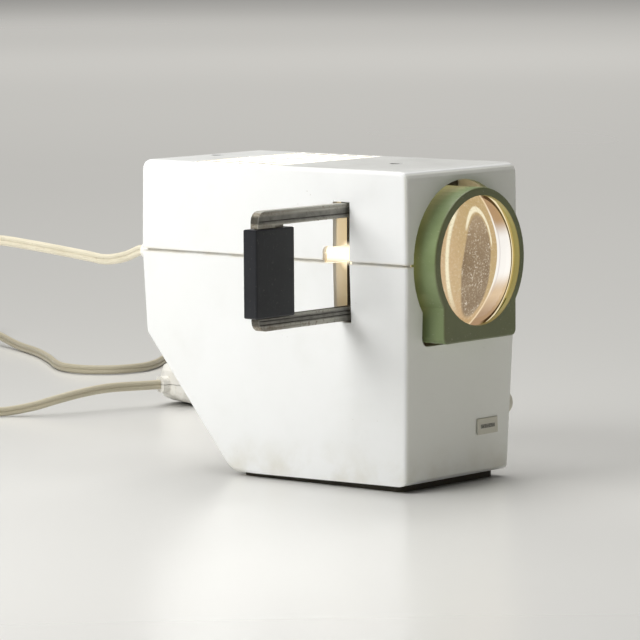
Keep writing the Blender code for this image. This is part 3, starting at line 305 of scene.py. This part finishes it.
def sage_plastic():
    """The holder's green moulding: a front rim painted darker as shade, and painted lamplight glowing on the
    far side of its bore.
    """
    m = Shader("sage_plastic")
    x, y, z = m.split()
    tone = m.mix(m.remap(m.noise(30.0, 5, 0.6), 0.3, 0.7), (0.200, 0.255, 0.118), (0.165, 0.215, 0.098))
    tone = m.mix(m.remap(m.noise(210.0, 4), 0.60, 0.75, 0, 0.3), tone, (0.22, 0.27, 0.16))
    # Painted shade: the front rim is darker
    front = m.remap(y, -0.0890, -0.0884, 1, 0)
    rim = m.mix(m.remap(m.noise(55.0, 4), 0.3, 0.7), (0.150, 0.165, 0.076), (0.125, 0.138, 0.064))
    tone = m.mix(front, tone, rim)
    # Painted lamplight glowing on the far side of the bore
    radius = m.axis_radius(x, z)
    bore = m.mul(m.below(radius, BORE_RADIUS), m.remap(y, -0.0893, -0.0890))
    gold = m.mul(bore, m.remap(x, -0.004, 0.010))
    dust_and_shade = m.remap(m.noise(800.0, 2), 0.66, 0.74, 0, 0.25)
    tone = m.mix(dust_and_shade, tone, (0.50, 0.50, 0.42))
    rough = m.remap(m.noise(90.0, 5, 0.6), 0.3, 0.7, 0.28, 0.42)
    normal = m.bump(m.noise(1300.0, 3), 0.14, 0.0001)
    return m.set(
        color=tone, roughness=rough, normal=normal, emission=(0.46, 0.34, 0.12), glow=m.mul(gold, 0.48)
    )


def front_glass():
    """The magnifier: a thick warm lens with a painted, glowing picture of the lit gate, painted shade,
    painted highlights along the far edge of the glass, and dust.
    """
    m = Shader("front_glass")
    x, _, z = m.split()
    x = m.mul(x, 1000.0)
    z = m.mul(m.sub(z, AXIS_HEIGHT), 1000.0)

    def ellipse(cx, cz, half_x, half_z):
        a = m.div(m.sub(x, cx), half_x)
        b = m.div(m.sub(z, cz), half_z)
        return m.sqrt(m.add(m.mul(a, a), m.mul(b, b)))

    def band(value, centre, half, soft):
        off = m.abs(m.sub(value, centre))
        return m.remap(off, half, half + soft, 1, 0, True)

    # All of this glows as painted light: a darker oval of painted shade, painted highlights at the left, over
    # the arch and along the far edge, a painted gold glow at the right and a dark painted ring
    cloud = m.noise(45.0, 4, 0.55)
    tone = m.mix(m.remap(x, -26.0, -8.0), (0.650, 0.470, 0.270), (0.530, 0.385, 0.175))
    tone = m.mix(m.remap(cloud, 0.35, 0.7, 0, 0.5), tone, (0.640, 0.450, 0.255))
    tone = m.mix(m.remap(z, -24.0, -12.0, 0.5, 0), tone, (0.600, 0.380, 0.200))
    left = m.mul(band(ellipse(3.0, 0.0, 27.0, 31.0), 1.0, 0.014, 0.032), m.remap(x, -12.0, -17.0, 0, 1))
    left = m.mul(left, m.remap(z, -24.0, -10.0))
    tone = m.mix(left, tone, (0.980, 0.900, 0.640))
    sway = m.sub(m.mul(m.max(m.add(z, 2.0), 0.0), 0.17), 7.9)
    oval = ellipse(sway, -2.0, 9.0, 23.4)
    shade = m.mix(m.remap(m.noise(90.0, 4), 0.35, 0.65), (0.310, 0.225, 0.140), (0.240, 0.165, 0.095))
    shade = m.mix(m.remap(z, 4.0, 20.0), shade, (0.400, 0.290, 0.180))
    dust_and_shade = m.mul(m.remap(m.noise(1100.0, 2, 0.6), 0.56, 0.64), m.remap(m.noise(170.0, 3), 0.42, 0.58))
    shade = m.mix(m.mul(dust_and_shade, 0.8), shade, (0.80, 0.70, 0.56))
    tone = m.mix(m.remap(oval, 0.93, 1.04, 1, 0, True), tone, shade)
    arch = m.mul(band(oval, 1.085, 0.030, 0.045), m.remap(m.add(z, m.mul(x, 0.55)), 7.0, 10.0))
    tone = m.mix(arch, tone, (0.980, 0.890, 0.640))
    tone = m.mix(m.mul(m.remap(m.noise(900.0, 3, 0.7), 0.52, 0.70), 0.40), tone, (0.82, 0.70, 0.50))
    tone = m.mix(m.mul(m.remap(m.noise(1000.0, 3, 0.7), 0.50, 0.30), 0.30), tone, (0.36, 0.25, 0.13))
    lift = m.sub(z, 8.0)
    far_edge = m.sub(7.9, m.mul(m.mul(lift, lift), 0.0093))
    beyond = m.sub(x, far_edge)
    shine = m.remap(m.abs(m.sub(z, 1.0)), 8.0, 17.0, 1, 0, True)
    flank = m.mix(shine, (0.480, 0.300, 0.150), (0.970, 0.930, 0.870))
    flank = m.mix(m.remap(m.abs(m.sub(z, 1.0)), 19.0, 27.0), flank, (0.430, 0.265, 0.150))
    low_flank = m.mix(m.remap(z, -16.0, -24.0), (0.800, 0.600, 0.380), (0.42, 0.27, 0.16))
    flank = m.mix(m.remap(z, -6.0, -16.0, 0, 0.75), flank, low_flank)
    tone = m.mix(m.remap(beyond, -0.2, 0.2), tone, flank)
    groove = m.mul(band(beyond, 1.9, 0.2, 0.5), m.remap(m.abs(z), 10.0, 20.0, 0.55, 0.0))
    tone = m.mix(groove, tone, (0.62, 0.56, 0.54))
    line = band(beyond, 0.0, 0.45, 0.5)
    line_tone = m.mix(m.remap(m.abs(m.sub(z, 3.0)), 12.0, 22.0), (0.990, 0.960, 0.880), (0.85, 0.66, 0.42))
    tone = m.mix(line, tone, line_tone)
    rim = ellipse(0.0, 0.0, 23.6, 29.2)
    right = m.remap(x, 3.0, 7.0)
    outside = m.mul(m.remap(rim, 1.0, 1.012), right)
    gold = m.mix(m.remap(m.noise(70.0, 3), 0.3, 0.7), (0.470, 0.350, 0.125), (0.370, 0.270, 0.090))
    tone = m.mix(outside, tone, gold)
    tone = m.mix(m.mul(band(rim, 1.082, 0.020, 0.02), right), tone, (0.93, 0.80, 0.55))
    ring = m.mul(band(rim, 1.012, 0.030, 0.012), right)
    tone = m.mix(ring, tone, (0.055, 0.022, 0.008))
    return m.set(
        color=(0.02, 0.018, 0.014), specular=0.35, emission=tone, glow=0.94,
        roughness=m.remap(m.noise(200.0, 3), 0.3, 0.7, 0.05, 0.12),
        normal=m.bump(m.noise(500.0, 2), 0.02, 0.0001),
    )


def worn_steel(name, light, dark, rust=0.5, rough=(0.34, 0.55), grain=(30, 900, 900)):
    """Drawn sheet steel: streaks along its length, stains and a few rust specks."""
    m = Shader(name)
    streak = m.noise(1.0, 4, 0.6, m.coords(grain))
    tone = m.mix(m.remap(streak, 0.3, 0.7), light, dark)
    tone = m.mix(m.remap(m.noise(48.0, 5, 0.65), 0.48, 0.72, 0, 0.6), tone, tuple(0.55 * v for v in dark))
    spots = m.mul(m.remap(m.noise(520.0, 3, 0.6), 0.58, 0.66), m.remap(m.noise(60.0, 3), 0.45, 0.60))
    tone = m.mix(m.mul(spots, rust), tone, (0.20, 0.095, 0.035))
    roughness = m.remap(m.noise(140.0, 5, 0.6), 0.3, 0.7, *rough)
    metal = m.remap(spots, 0, 1, 0.85, 0.35)
    normal = m.bump(streak, 0.12, 0.0002)
    return m.set(color=tone, roughness=roughness, metallic=metal, normal=normal)


def carrier_steel():
    """The carrier's drawn rails: grey, browned and rusted towards the handle, with painted highlights along
    the edges and painted shade in the grooves and inside the slot.
    """
    m = Shader("carrier_steel")
    x, y, z = m.split()
    streak = m.noise(1.0, 4, 0.6, m.coords((18, 700, 1100)))
    tone = m.mix(m.remap(streak, 0.40, 0.60), (0.600, 0.590, 0.515), (0.300, 0.290, 0.240))
    stain = m.mul(m.remap(x, -0.070, -0.098), m.remap(m.noise(110.0, 5, 0.7), 0.30, 0.60))
    tone = m.mix(m.mul(stain, 0.8), tone, (0.170, 0.130, 0.080))
    spots = m.mul(m.remap(m.noise(620.0, 3, 0.6), 0.55, 0.62), m.remap(m.noise(75.0, 3), 0.38, 0.54))
    tone = m.mix(m.mul(spots, 0.75), tone, (0.115, 0.060, 0.025))
    # Painted shade on the rails inside the slot, weaker on the top edge
    slot_shade = m.mul(m.remap(x, -0.0560, -0.0400, 0, 0.9, True), m.remap(m.noise(40.0, 3), 0.3, 0.6, 0.75, 1.0))
    slot_shade = m.mul(slot_shade, m.remap(z, 0.1278, 0.1288, 1.0, 0.25))
    tone = m.mix(slot_shade, tone, (0.030, 0.028, 0.022))
    # Painted shade along the groove in each rail
    middle = m.abs(m.sub(m.abs(m.sub(z, CARRIER_MIDDLE)), RAIL_OFFSET))
    tone = m.mix(m.remap(middle, 0.0012, 0.0022, 0.85, 0), tone, (0.060, 0.056, 0.046))
    # Painted highlight along the top and front edges of the rails
    edge = m.max(m.remap(z, 0.1290, 0.1297), m.remap(y, -0.0449, -0.0453, 0, 0.35))
    tone = m.mix(m.mul(edge, m.remap(m.noise(260.0, 3), 0.35, 0.6, 0.4, 1)), tone, (0.46, 0.45, 0.41))
    roughness = m.remap(m.noise(160.0, 5, 0.6), 0.3, 0.7, 0.36, 0.56)
    metal = m.remap(spots, 0, 1, 0.35, 0.15)
    return m.set(color=tone, roughness=roughness, metallic=metal, normal=m.bump(streak, 0.15, 0.0002))


def moulded_black(name, light, dark):
    m = Shader(name)
    tone = m.mix(m.remap(m.noise(50.0, 5, 0.6), 0.3, 0.7), light, dark)
    scuff = m.remap(m.noise(1.0, 3, 0.6, m.coords((900, 900, 120))), 0.62, 0.74, 0, 0.35)
    tone = m.mix(scuff, tone, tuple(min(1, 2.2 * v + 0.02) for v in light))
    dust_and_shade = m.remap(m.noise(900.0, 2), 0.66, 0.73, 0, 0.15)
    tone = m.mix(dust_and_shade, tone, (0.30, 0.28, 0.24))
    rough = m.remap(m.noise(120.0, 5), 0.3, 0.7, 0.28, 0.46)
    return m.set(color=tone, roughness=rough, normal=m.bump(m.noise(1200.0, 3), 0.12, 0.0001))


def plain_metal(name, light, dark, rough=(0.16, 0.34), grain=(300, 300, 300)):
    m = Shader(name)
    brush = m.noise(1.0, 4, 0.6, m.coords(grain))
    tone = m.mix(m.remap(brush, 0.3, 0.7), light, dark)
    tone = m.mix(m.remap(m.noise(80.0, 4), 0.55, 0.75, 0, 0.45), tone, tuple(0.6 * v for v in dark))
    roughness = m.remap(m.noise(150.0, 4), 0.3, 0.7, *rough)
    return m.set(color=tone, metallic=1.0, roughness=roughness, normal=m.bump(brush, 0.08, 0.0001))


def clear_glass(name, tint):
    m = Shader(name)
    tone = m.mix(m.remap(m.noise(60.0, 3), 0.3, 0.7), tint, tuple(0.93 * v for v in tint))
    rough = m.remap(m.noise(240.0, 4), 0.4, 0.75, 0.01, 0.10)
    return m.set(color=tone, transmission=0.9, ior=1.5, roughness=rough)


def pressed_board():
    m = Shader("pressed_board")
    tone = m.mix(m.remap(m.noise(40.0, 5, 0.65), 0.3, 0.7), (0.046, 0.038, 0.024), (0.030, 0.025, 0.016))
    fibre = m.remap(m.noise(1.0, 4, 0.6, m.coords((1400, 260, 1400))), 0.58, 0.72, 0, 0.4)
    tone = m.mix(fibre, tone, (0.105, 0.088, 0.058))
    rough = m.remap(m.noise(300.0, 3), 0.3, 0.7, 0.62, 0.80)
    return m.set(color=tone, roughness=rough, normal=m.bump(m.noise(700.0, 4), 0.3, 0.0002))


def painted(name, light, dark, rough=(0.35, 0.5), bump=0.12, speckle=(0.3, 0.27, 0.2), scale=40.0):
    m = Shader(name)
    tone = m.mix(m.remap(m.noise(scale, 5, 0.6), 0.3, 0.7), light, dark)
    tone = m.mix(m.remap(m.noise(scale * 12, 3), 0.62, 0.72, 0, 0.3), tone, speckle)
    roughness = m.remap(m.noise(scale * 3, 4), 0.3, 0.7, *rough)
    return m.set(color=tone, roughness=roughness, normal=m.bump(m.noise(1000.0, 3), bump, 0.0001))


def layered(name, light, dark, scale, metallic):
    """Stacked laminations or wound tape: fine bands across one direction."""
    m = Shader(name)
    inputs = {"Vector": m.coords(scale), "Scale": 1.0, "Distortion": 0.6, "Detail": 2.0}
    bands = m.node("ShaderNodeTexWave", inputs=inputs)
    tone = m.mix(m.remap(bands.outputs["Fac"], 0.2, 0.8), dark, light)
    tone = m.mix(m.remap(m.noise(60.0, 4), 0.5, 0.75, 0, 0.5), tone, tuple(0.6 * v for v in dark))
    return m.set(
        color=tone, metallic=metallic, roughness=m.remap(m.noise(140.0, 4), 0.3, 0.7, 0.42, 0.62),
        normal=m.bump(bands.outputs["Fac"], 0.3, 0.0003),
    )


def lit_steel():
    """The lamp house: bare sheet outside, with painted lamplight glowing white on the inside."""
    m = Shader("lamp_house_steel")
    x, y, z = m.split()
    streak = m.noise(1.0, 4, 0.6, m.coords((500, 500, 40)))
    tone = m.mix(m.remap(streak, 0.3, 0.7), (0.62, 0.61, 0.58), (0.50, 0.49, 0.45))
    tone = m.mix(m.remap(m.noise(45.0, 4), 0.5, 0.75, 0, 0.4), tone, (0.36, 0.32, 0.25))
    # Painted lamplight: the inside of the house glows
    inner = m.mul(m.below(m.abs(x), LAMP_HOUSE_X, 0.00015), m.between(y, *LAMP_HOUSE_Y, 0.0002))
    return m.set(
        color=tone, metallic=0.7, roughness=m.remap(m.noise(160.0, 4), 0.3, 0.7, 0.32, 0.5),
        emission=(1.0, 0.88, 0.66), glow=m.mul(inner, 2.2), normal=m.bump(m.noise(400.0, 3), 0.08, 0.0001),
    )


def lit_tube():
    """The condenser's black tube, with painted lamplight glowing along its left side to the gate."""
    m = Shader("condenser_black")
    x, _, z = m.split()
    tone = m.mix(m.remap(m.noise(60.0, 4), 0.3, 0.7), (0.032, 0.030, 0.028), (0.022, 0.021, 0.019))
    tone = m.mix(m.remap(m.noise(800.0, 2), 0.64, 0.72, 0, 0.3), tone, (0.2, 0.18, 0.15))
    # Painted lamplight in a band along the left side
    beam = m.remap(m.abs(m.sub(z, 0.1060)), 0.002, 0.006, 1.5, 0, True)
    beam = m.mul(beam, m.remap(x, -0.0280, -0.0300))
    return m.set(
        color=tone, emission=(1.0, 0.88, 0.64), glow=beam,
        roughness=m.remap(m.noise(140.0, 4), 0.3, 0.7, 0.35, 0.5),
        normal=m.bump(m.noise(1000.0, 3), 0.1, 0.0001),
    )


def badge_plate():
    """A plain beige plaque with a blank dark bar."""
    m = Shader("badge_plate")
    x, _, z = m.split()
    tone = m.mix(m.remap(m.noise(90.0, 5, 0.6), 0.3, 0.7), (0.64, 0.62, 0.53), (0.56, 0.535, 0.44))
    off_x = m.abs(m.sub(x, PLAQUE_BAR[0]))
    off_z = m.abs(m.sub(z, PLAQUE_BAR[1]))
    bar = m.mul(m.below(off_x, PLAQUE_BAR_HALF[0]), m.below(off_z, PLAQUE_BAR_HALF[1]))
    wear = m.remap(m.noise(900.0, 3), 0.35, 0.62, 1.0, 0.55)
    tone = m.mix(m.mul(bar, wear), tone, (0.060, 0.055, 0.045))
    rough = m.remap(m.noise(300.0, 3), 0.3, 0.7, 0.28, 0.42)
    return m.set(color=tone, roughness=rough, normal=m.bump(bar, 0.2, 0.0001))


def glowing(name, colour, strength, tint=(0.9, 0.87, 0.8), scale=70.0):
    m = Shader(name)
    spread = m.remap(m.noise(scale, 3), 0.3, 0.7, 0.85 * strength, strength)
    rough = m.remap(m.noise(200.0, 3), 0.3, 0.7, 0.15, 0.3)
    return m.set(color=tint, roughness=rough, emission=colour, glow=spread)


CASE = case_plastic()
CORD = cord_vinyl("cord_vinyl", (0.68, 0.63, 0.50), (0.60, 0.55, 0.42), 0.70)
FITTING = cord_vinyl("fitting_vinyl", (0.84, 0.83, 0.79), (0.79, 0.77, 0.71), 0.15)

# ---------------------------------------------------------------- mains lead

CORD_WIDTH, CORD_THICKNESS = 0.0050, 0.0027
GLAND = (-0.0300, 0.0870, 0.1012)
SWITCH_START, SWITCH_ANGLE, SWITCH_LENGTH = (0.1332, 0.2246, 0.0117), radians(-18.5), 0.0620
COIL_CENTRE, COIL_MEAN, COIL_STEP = (0.2520, 0.2175), 0.0260, 0.0050
PLUG_START, PLUG_ANGLE = (0.3085, 0.5250, 0.0075), radians(65.0)
GAP = 0.0003


def along(start, angle, distance, height=None):
    x, y, z = start
    return (x + distance * cos(angle), y + distance * sin(angle), z if height is None else height)


def smooth_route(points, spacing):
    """Evenly spaced points on a centripetal curve through a route."""
    knots = [Vector(p) for p in points]
    knots = [2 * knots[0] - knots[1]] + knots + [2 * knots[-1] - knots[-2]]
    fine = []
    for a, b, c, d in zip(knots, knots[1:], knots[2:], knots[3:]):
        t0, t1 = 0.0, sqrt((b - a).length)
        t2 = t1 + sqrt((c - b).length)
        t3 = t2 + sqrt((d - c).length)
        for i in range(12):
            t = t1 + (t2 - t1) * i / 12
            ab = a + (b - a) * ((t - t0) / (t1 - t0))
            bc = b + (c - b) * ((t - t1) / (t2 - t1))
            cd = c + (d - c) * ((t - t2) / (t3 - t2))
            abc = ab + (bc - ab) * ((t - t0) / (t2 - t0))
            bcd = bc + (cd - bc) * ((t - t1) / (t3 - t1))
            fine.append(abc + (bcd - abc) * ((t - t1) / (t2 - t1)))
    fine.append(knots[-2])
    total = sum((q - p).length for p, q in zip(fine, fine[1:]))
    count = max(3, round(total / spacing))
    even, run, target = [fine[0]], 0.0, total / count
    for p, q in zip(fine, fine[1:]):
        step = (q - p).length
        while run + step >= target and len(even) < count:
            even.append(p + (q - p) * ((target - run) / step))
            target += total / count
        run += step
    return even + [fine[-1]]


def length_of(points):
    return sum((q - p).length for p, q in zip(points, points[1:]))


def link_mesh(name, bm, finish):
    bm.normal_update()
    bmesh.ops.recalc_face_normals(bm, faces=bm.faces)
    mesh = bpy.data.meshes.new(name)
    bm.to_mesh(mesh)
    bm.free()
    mesh.materials.append(finish)
    mesh.shade_smooth()
    mesh.set_sharp_from_angle(angle=radians(35))
    obj = bpy.data.objects.new(name, mesh)
    scene.collection.objects.link(obj)
    return obj


def twin_section(width, thickness):
    """Figure-of-eight section of a twin flex: its width along the first axis."""
    r = thickness / 2
    offset = width / 2 - r
    points = []
    for side in (1, -1):
        for i in range(9):
            angle = radians(-144 + 288 * i / 8)
            points.append((side * (offset + r * cos(angle)), side * r * sin(angle)))
    return points


def flat_cord(name, points, lean, spacing=0.0032):
    """A twin flex along a route. lean gives the angle of its wide side from upright, along its length."""
    route = smooth_route(points, spacing)
    section = twin_section(CORD_WIDTH, CORD_THICKNESS)
    bm = bmesh.new()
    rings = []
    total = length_of(route)
    run = 0.0
    for i, point in enumerate(route):
        ahead = route[min(i + 1, len(route) - 1)]
        behind = route[max(i - 1, 0)]
        tangent = (ahead - behind).normalized()
        side = tangent.cross(Vector((0, 0, 1))).normalized()
        upright = side.cross(tangent).normalized()
        if i:
            run += (point - route[i - 1]).length
        angle = lean(run / total)
        wide = upright * cos(angle) + side * sin(angle)
        thin = side * cos(angle) - upright * sin(angle)
        rings.append([bm.verts.new(point + wide * a + thin * b) for a, b in section])
    for lower, upper in zip(rings, rings[1:]):
        for i in range(len(lower)):
            j = (i + 1) % len(lower)
            bm.faces.new((lower[i], lower[j], upper[j], upper[i]))
    bm.faces.new(rings[0])
    bm.faces.new(rings[-1])
    return link_mesh(name, bm, CORD), route


def steps(*pairs):
    """A smooth function through (position, angle in degrees) pairs."""

    def value(t):
        for (t0, a0), (t1, a1) in zip(pairs, pairs[1:]):
            if t <= t1:
                k = min(max((t - t0) / (t1 - t0), 0), 1)
                k = k * k * (3 - 2 * k)
                return radians(a0 + (a1 - a0) * k)
        return radians(pairs[-1][1])

    return value


FIRST_CORD = [
    (GLAND[0], GLAND[1] + GAP, GLAND[2]),
    (-0.0300, 0.0905, 0.1010), (-0.0300, 0.0990, 0.0978), (-0.0300, 0.1120, 0.0955),
    (-0.0300, 0.1235, 0.0965), (-0.0300, 0.1360, 0.0977), (-0.0300, 0.1615, 0.0999),
    (-0.0300, 0.1820, 0.1012), (-0.0285, 0.2010, 0.1000), (-0.0220, 0.2230, 0.0940),
    (-0.0105, 0.2420, 0.0820), (0.0040, 0.2580, 0.0640), (0.0165, 0.2690, 0.0430),
    (0.0265, 0.2745, 0.0220), (0.0370, 0.2740, 0.0080), (0.0500, 0.2650, 0.0027),
    (0.0640, 0.2520, 0.0048), (0.0735, 0.2440, 0.0080), (0.0870, 0.2385, 0.0106),
    (0.1025, 0.2342, 0.0120), (0.1180, 0.2296, 0.0119),
    along(SWITCH_START, SWITCH_ANGLE, -0.0050), along(SWITCH_START, SWITCH_ANGLE, -GAP),
]
CX, CY = COIL_CENTRE
COIL_OUTER = COIL_MEAN + COIL_STEP
COIL_TURNS, TURN_STEPS, COIL_START = 5, 16, -108.5
COIL_LOW, COIL_HIGH = 0.0027, 0.0076


def coil_route():
    """Five turns: three on the table and two on top of them, entered in line with the switch."""
    layers = [(COIL_OUTER, COIL_LOW), (COIL_MEAN, COIL_LOW), (COIL_MEAN - COIL_STEP, COIL_LOW)]
    layers += [(COIL_MEAN - COIL_STEP / 2, COIL_HIGH), (COIL_OUTER - COIL_STEP / 2, COIL_HIGH)]
    layers += [(COIL_OUTER, COIL_HIGH)]
    start = radians(COIL_START)
    points = []
    for i in range(round((COIL_TURNS - COIL_START / 360) * TURN_STEPS)):
        turn, t = i // TURN_STEPS, i % TURN_STEPS / TURN_STEPS
        radius, height = layers[turn]
        after = layers[min(turn + 1, len(layers) - 1)]
        k = min(max((t - 0.45) / 0.55, 0), 1)
        k = k * k * (3 - 2 * k)
        r, z = radius + (after[0] - radius) * k, height + (after[1] - height) * k
        angle = start + 2 * pi * (turn + t)
        points.append((CX + r * cos(angle), CY + r * sin(angle), z))
    return points


DROP = [(GAP, 0.0117), (0.0050, 0.0117), (0.0100, 0.0112), (0.0150, 0.0097), (0.0193, 0.0072)]
DROP += [(0.0236, 0.0047), (0.0286, 0.0032), (0.0336, 0.0027), (0.0430, 0.0027)]
SECOND_CORD = [along(SWITCH_START, SWITCH_ANGLE, SWITCH_LENGTH + t, z) for t, z in DROP]
THIRD_CORD = [
    (CX + COIL_OUTER, CY, COIL_HIGH),
    (0.2842, 0.2367, 0.0067), (0.2905, 0.2590, 0.0040), (0.3010, 0.2810, 0.0028),
    (0.3130, 0.3000, 0.0027), (0.3250, 0.3180, 0.0027), (0.3337, 0.3325, 0.0027),
    (0.3369, 0.3445, 0.0027), (0.3337, 0.3565, 0.0027), (0.3249, 0.3653, 0.0027),
    (0.3129, 0.3685, 0.0027), (0.3010, 0.3653, 0.0027), (0.2900, 0.3590, 0.0027),
    (0.2795, 0.3529, 0.0027), (0.2615, 0.3425, 0.0027), (0.2430, 0.3370, 0.0027),
    (0.2262, 0.3415, 0.0027), (0.2165, 0.3545, 0.0027), (0.2170, 0.3705, 0.0027),
    (0.2260, 0.3865, 0.0027), (0.2410, 0.4050, 0.0027), (0.2625, 0.4350, 0.0027),
    (0.2825, 0.4710, 0.0030), (0.2965, 0.4990, 0.0055),
    along(PLUG_START, PLUG_ANGLE, -0.0050), along(PLUG_START, PLUG_ANGLE, -GAP),
]


def make_cords():
    lean = steps((0, 0), (0.2, 0), (0.35, 40), (0.6, 40), (0.8, 10), (1, 0))
    first, route = flat_cord("flex_to_switch", FIRST_CORD, lean)
    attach(first, "case")
    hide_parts("cord_to_switch")
    points = SECOND_CORD + coil_route() + THIRD_CORD
    second, route = flat_cord("flex_to_plug", points, lambda t: 0.0)
    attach(second, "case")
    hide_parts("cord_from_switch", "cord_coil", "cord_to_plug")


make_cords()

# ---------------------------------------------------------------- finishes on the CAD nodes

STEEL = worn_steel("worn_steel", (0.46, 0.45, 0.41), (0.34, 0.33, 0.29))
DARK_SCREW = painted(
    "blackened_screw", (0.022, 0.020, 0.018), (0.012, 0.011, 0.010), (0.45, 0.6), 0.2,
    speckle=(0.10, 0.09, 0.08), scale=300.0,
)
CERAMIC = painted("socket_ceramic", (0.80, 0.78, 0.72), (0.72, 0.70, 0.64), (0.18, 0.3), 0.05)
LAMINATIONS = layered("laminations", (0.20, 0.19, 0.18), (0.11, 0.105, 0.10), (40, 2200, 40), 0.7)
WINDING = layered("winding_tape", (0.50, 0.33, 0.12), (0.38, 0.24, 0.08), (60, 60, 1100), 0.0)
BRASS = plain_metal("brass", (0.72, 0.53, 0.22), (0.56, 0.39, 0.14))
CHROME = plain_metal("chrome", (0.83, 0.83, 0.82), (0.72, 0.72, 0.70), (0.06, 0.16))
SPRING = plain_metal("blued_spring", (0.20, 0.22, 0.28), (0.13, 0.14, 0.18), (0.22, 0.36), (60, 900, 900))
BLACK = moulded_black("gate_black", (0.030, 0.028, 0.026), (0.020, 0.019, 0.018))
HANDLE = moulded_black("handle_black", (0.014, 0.015, 0.019), (0.009, 0.010, 0.013))
FINISHES = {
    CASE: ("upper_cover", "lower_housing"),
    FITTING: ("cord_gland", "cord_switch_base", "cord_switch_cover", "plug_body"),
    painted("slider_white", (0.86, 0.85, 0.82), (0.80, 0.79, 0.75)): ("cord_switch_slider",),
    sage_plastic(): ("lens_holder",),
    front_glass(): ("front_lens",),
    carrier_steel(): ("carrier_frame",),
    HANDLE: ("carrier_handle",),
    pressed_board(): ("base_plate",),
    badge_plate(): ("front_badge",),
    painted("knob_white", (0.64, 0.61, 0.52), (0.57, 0.54, 0.45)): ("focus_knob",),
    DARK_SCREW: ("cover_screw_front", "cover_screw_rear", *(f"base_screw_{i}" for i in range(1, 5))),
    STEEL: (
        "chassis_plate", "rear_pillar", "rod_bracket_front", "rod_bracket_rear", "guide_rod_left",
        "guide_rod_right", "socket_bracket", "shaft_bracket", "gate_front_plate", "gate_rear_plate",
        "lens_carriage", "focus_shaft", "holder_screw_left", "holder_screw_right",
    ),
    BRASS: ("lamp_cap", "focus_crank", "focus_bush"),
    CHROME: ("reflector", "plug_pin_left", "plug_pin_right"),
    SPRING: ("detent_spring",),
    BLACK: ("gate_lower_guide", "gate_upper_guide", "lens_retaining_ring"),
    lit_tube(): ("condenser_tube",),
    clear_glass("condenser_glass", (0.95, 0.96, 0.94)): ("condenser_lens", "heat_glass"),
    # The opal diffuser glows with painted lamplight; the bulb is the lamp itself
    glowing("opal_lit", (1.0, 0.86, 0.60), 1.6): ("diffuser_glass",),
    glowing("bulb_lit", (1.0, 0.90, 0.70), 9.0): ("lamp_bulb",),
    lit_steel(): ("lamp_house",),
    CERAMIC: ("lamp_socket", "terminal_block"),
    LAMINATIONS: ("transformer_core",),
    WINDING: ("transformer_coil",),
    CORD: ("mains_lead_inside", "lamp_lead"),
}
for finish, names in FINISHES.items():
    for name in names:
        NODES[name].data.materials.clear()
        NODES[name].data.materials.append(finish)

# ---------------------------------------------------------------- studio

FLOOR_HALF = 14
WORLD_STRENGTH = 0.12


def make_studio():
    m = Shader("studio_floor")
    rough = m.remap(m.noise(0.6, 0), 0.3, 0.7, 0.24, 0.28)
    tone = m.mix(m.remap(m.noise(0.5, 0), 0.3, 0.7), (0.68, 0.675, 0.655), (0.66, 0.655, 0.635))
    m.set(color=tone, roughness=rough, specular=0.35)
    bm = bmesh.new()
    reach = FLOOR_HALF
    corners = ((-reach, -reach), (reach, -reach), (reach, reach), (-reach, reach))
    bm.faces.new([bm.verts.new((x, y, 0)) for x, y in corners])
    floor = link_mesh("studio_floor", bm, m.material)
    floor.rotation_euler = (0, 0, CAMERA_AZIMUTH)
    floor.location = (0, 0, -0.0001)
    world = bpy.data.worlds.new("studio")
    world.use_nodes = True
    background = world.node_tree.nodes["Background"]
    background.inputs["Color"].default_value = (1.0, 0.985, 0.96, 1)
    background.inputs["Strength"].default_value = WORLD_STRENGTH
    scene.world = world


def area_light(name, place, target, size, power, colour=(1, 1, 1)):
    data = bpy.data.lights.new(name, "AREA")
    data.shape = "RECTANGLE"
    data.size, data.size_y = size
    data.energy = power
    data.color = colour
    light = bpy.data.objects.new(name, data)
    light.location = place
    light.rotation_euler = (Vector(target) - Vector(place)).to_track_quat("-Z", "Y").to_euler()
    scene.collection.objects.link(light)
    return light


make_studio()
key = area_light("key", (-0.66, 0.23, 0.54), (0, 0, 0.07), (0.5, 0.5), 6.3, (1.0, 1.0, 0.99))
key.visible_glossy = False
area_light("top", (0.15, 0.35, 2.1), (0.1, 0.2, 0.0), (2.0, 2.0), 34, (1.0, 0.995, 0.975))
far = area_light("far floor", (3.6, 3.1, 3.4), (3.6, 3.1, 0.0), (5.0, 5.0), 240, (1.0, 0.985, 0.96))
far.visible_glossy = False
bounce = area_light("bounce", (0.02, -0.27, 0.03), (0, -0.08, 0.05), (0.12, 0.03), 0.009, (1.0, 0.99, 0.95))
bounce.data.spread = radians(110)
bounce.visible_camera = False
bounce.visible_glossy = False
scene.view_settings.view_transform = "Standard"
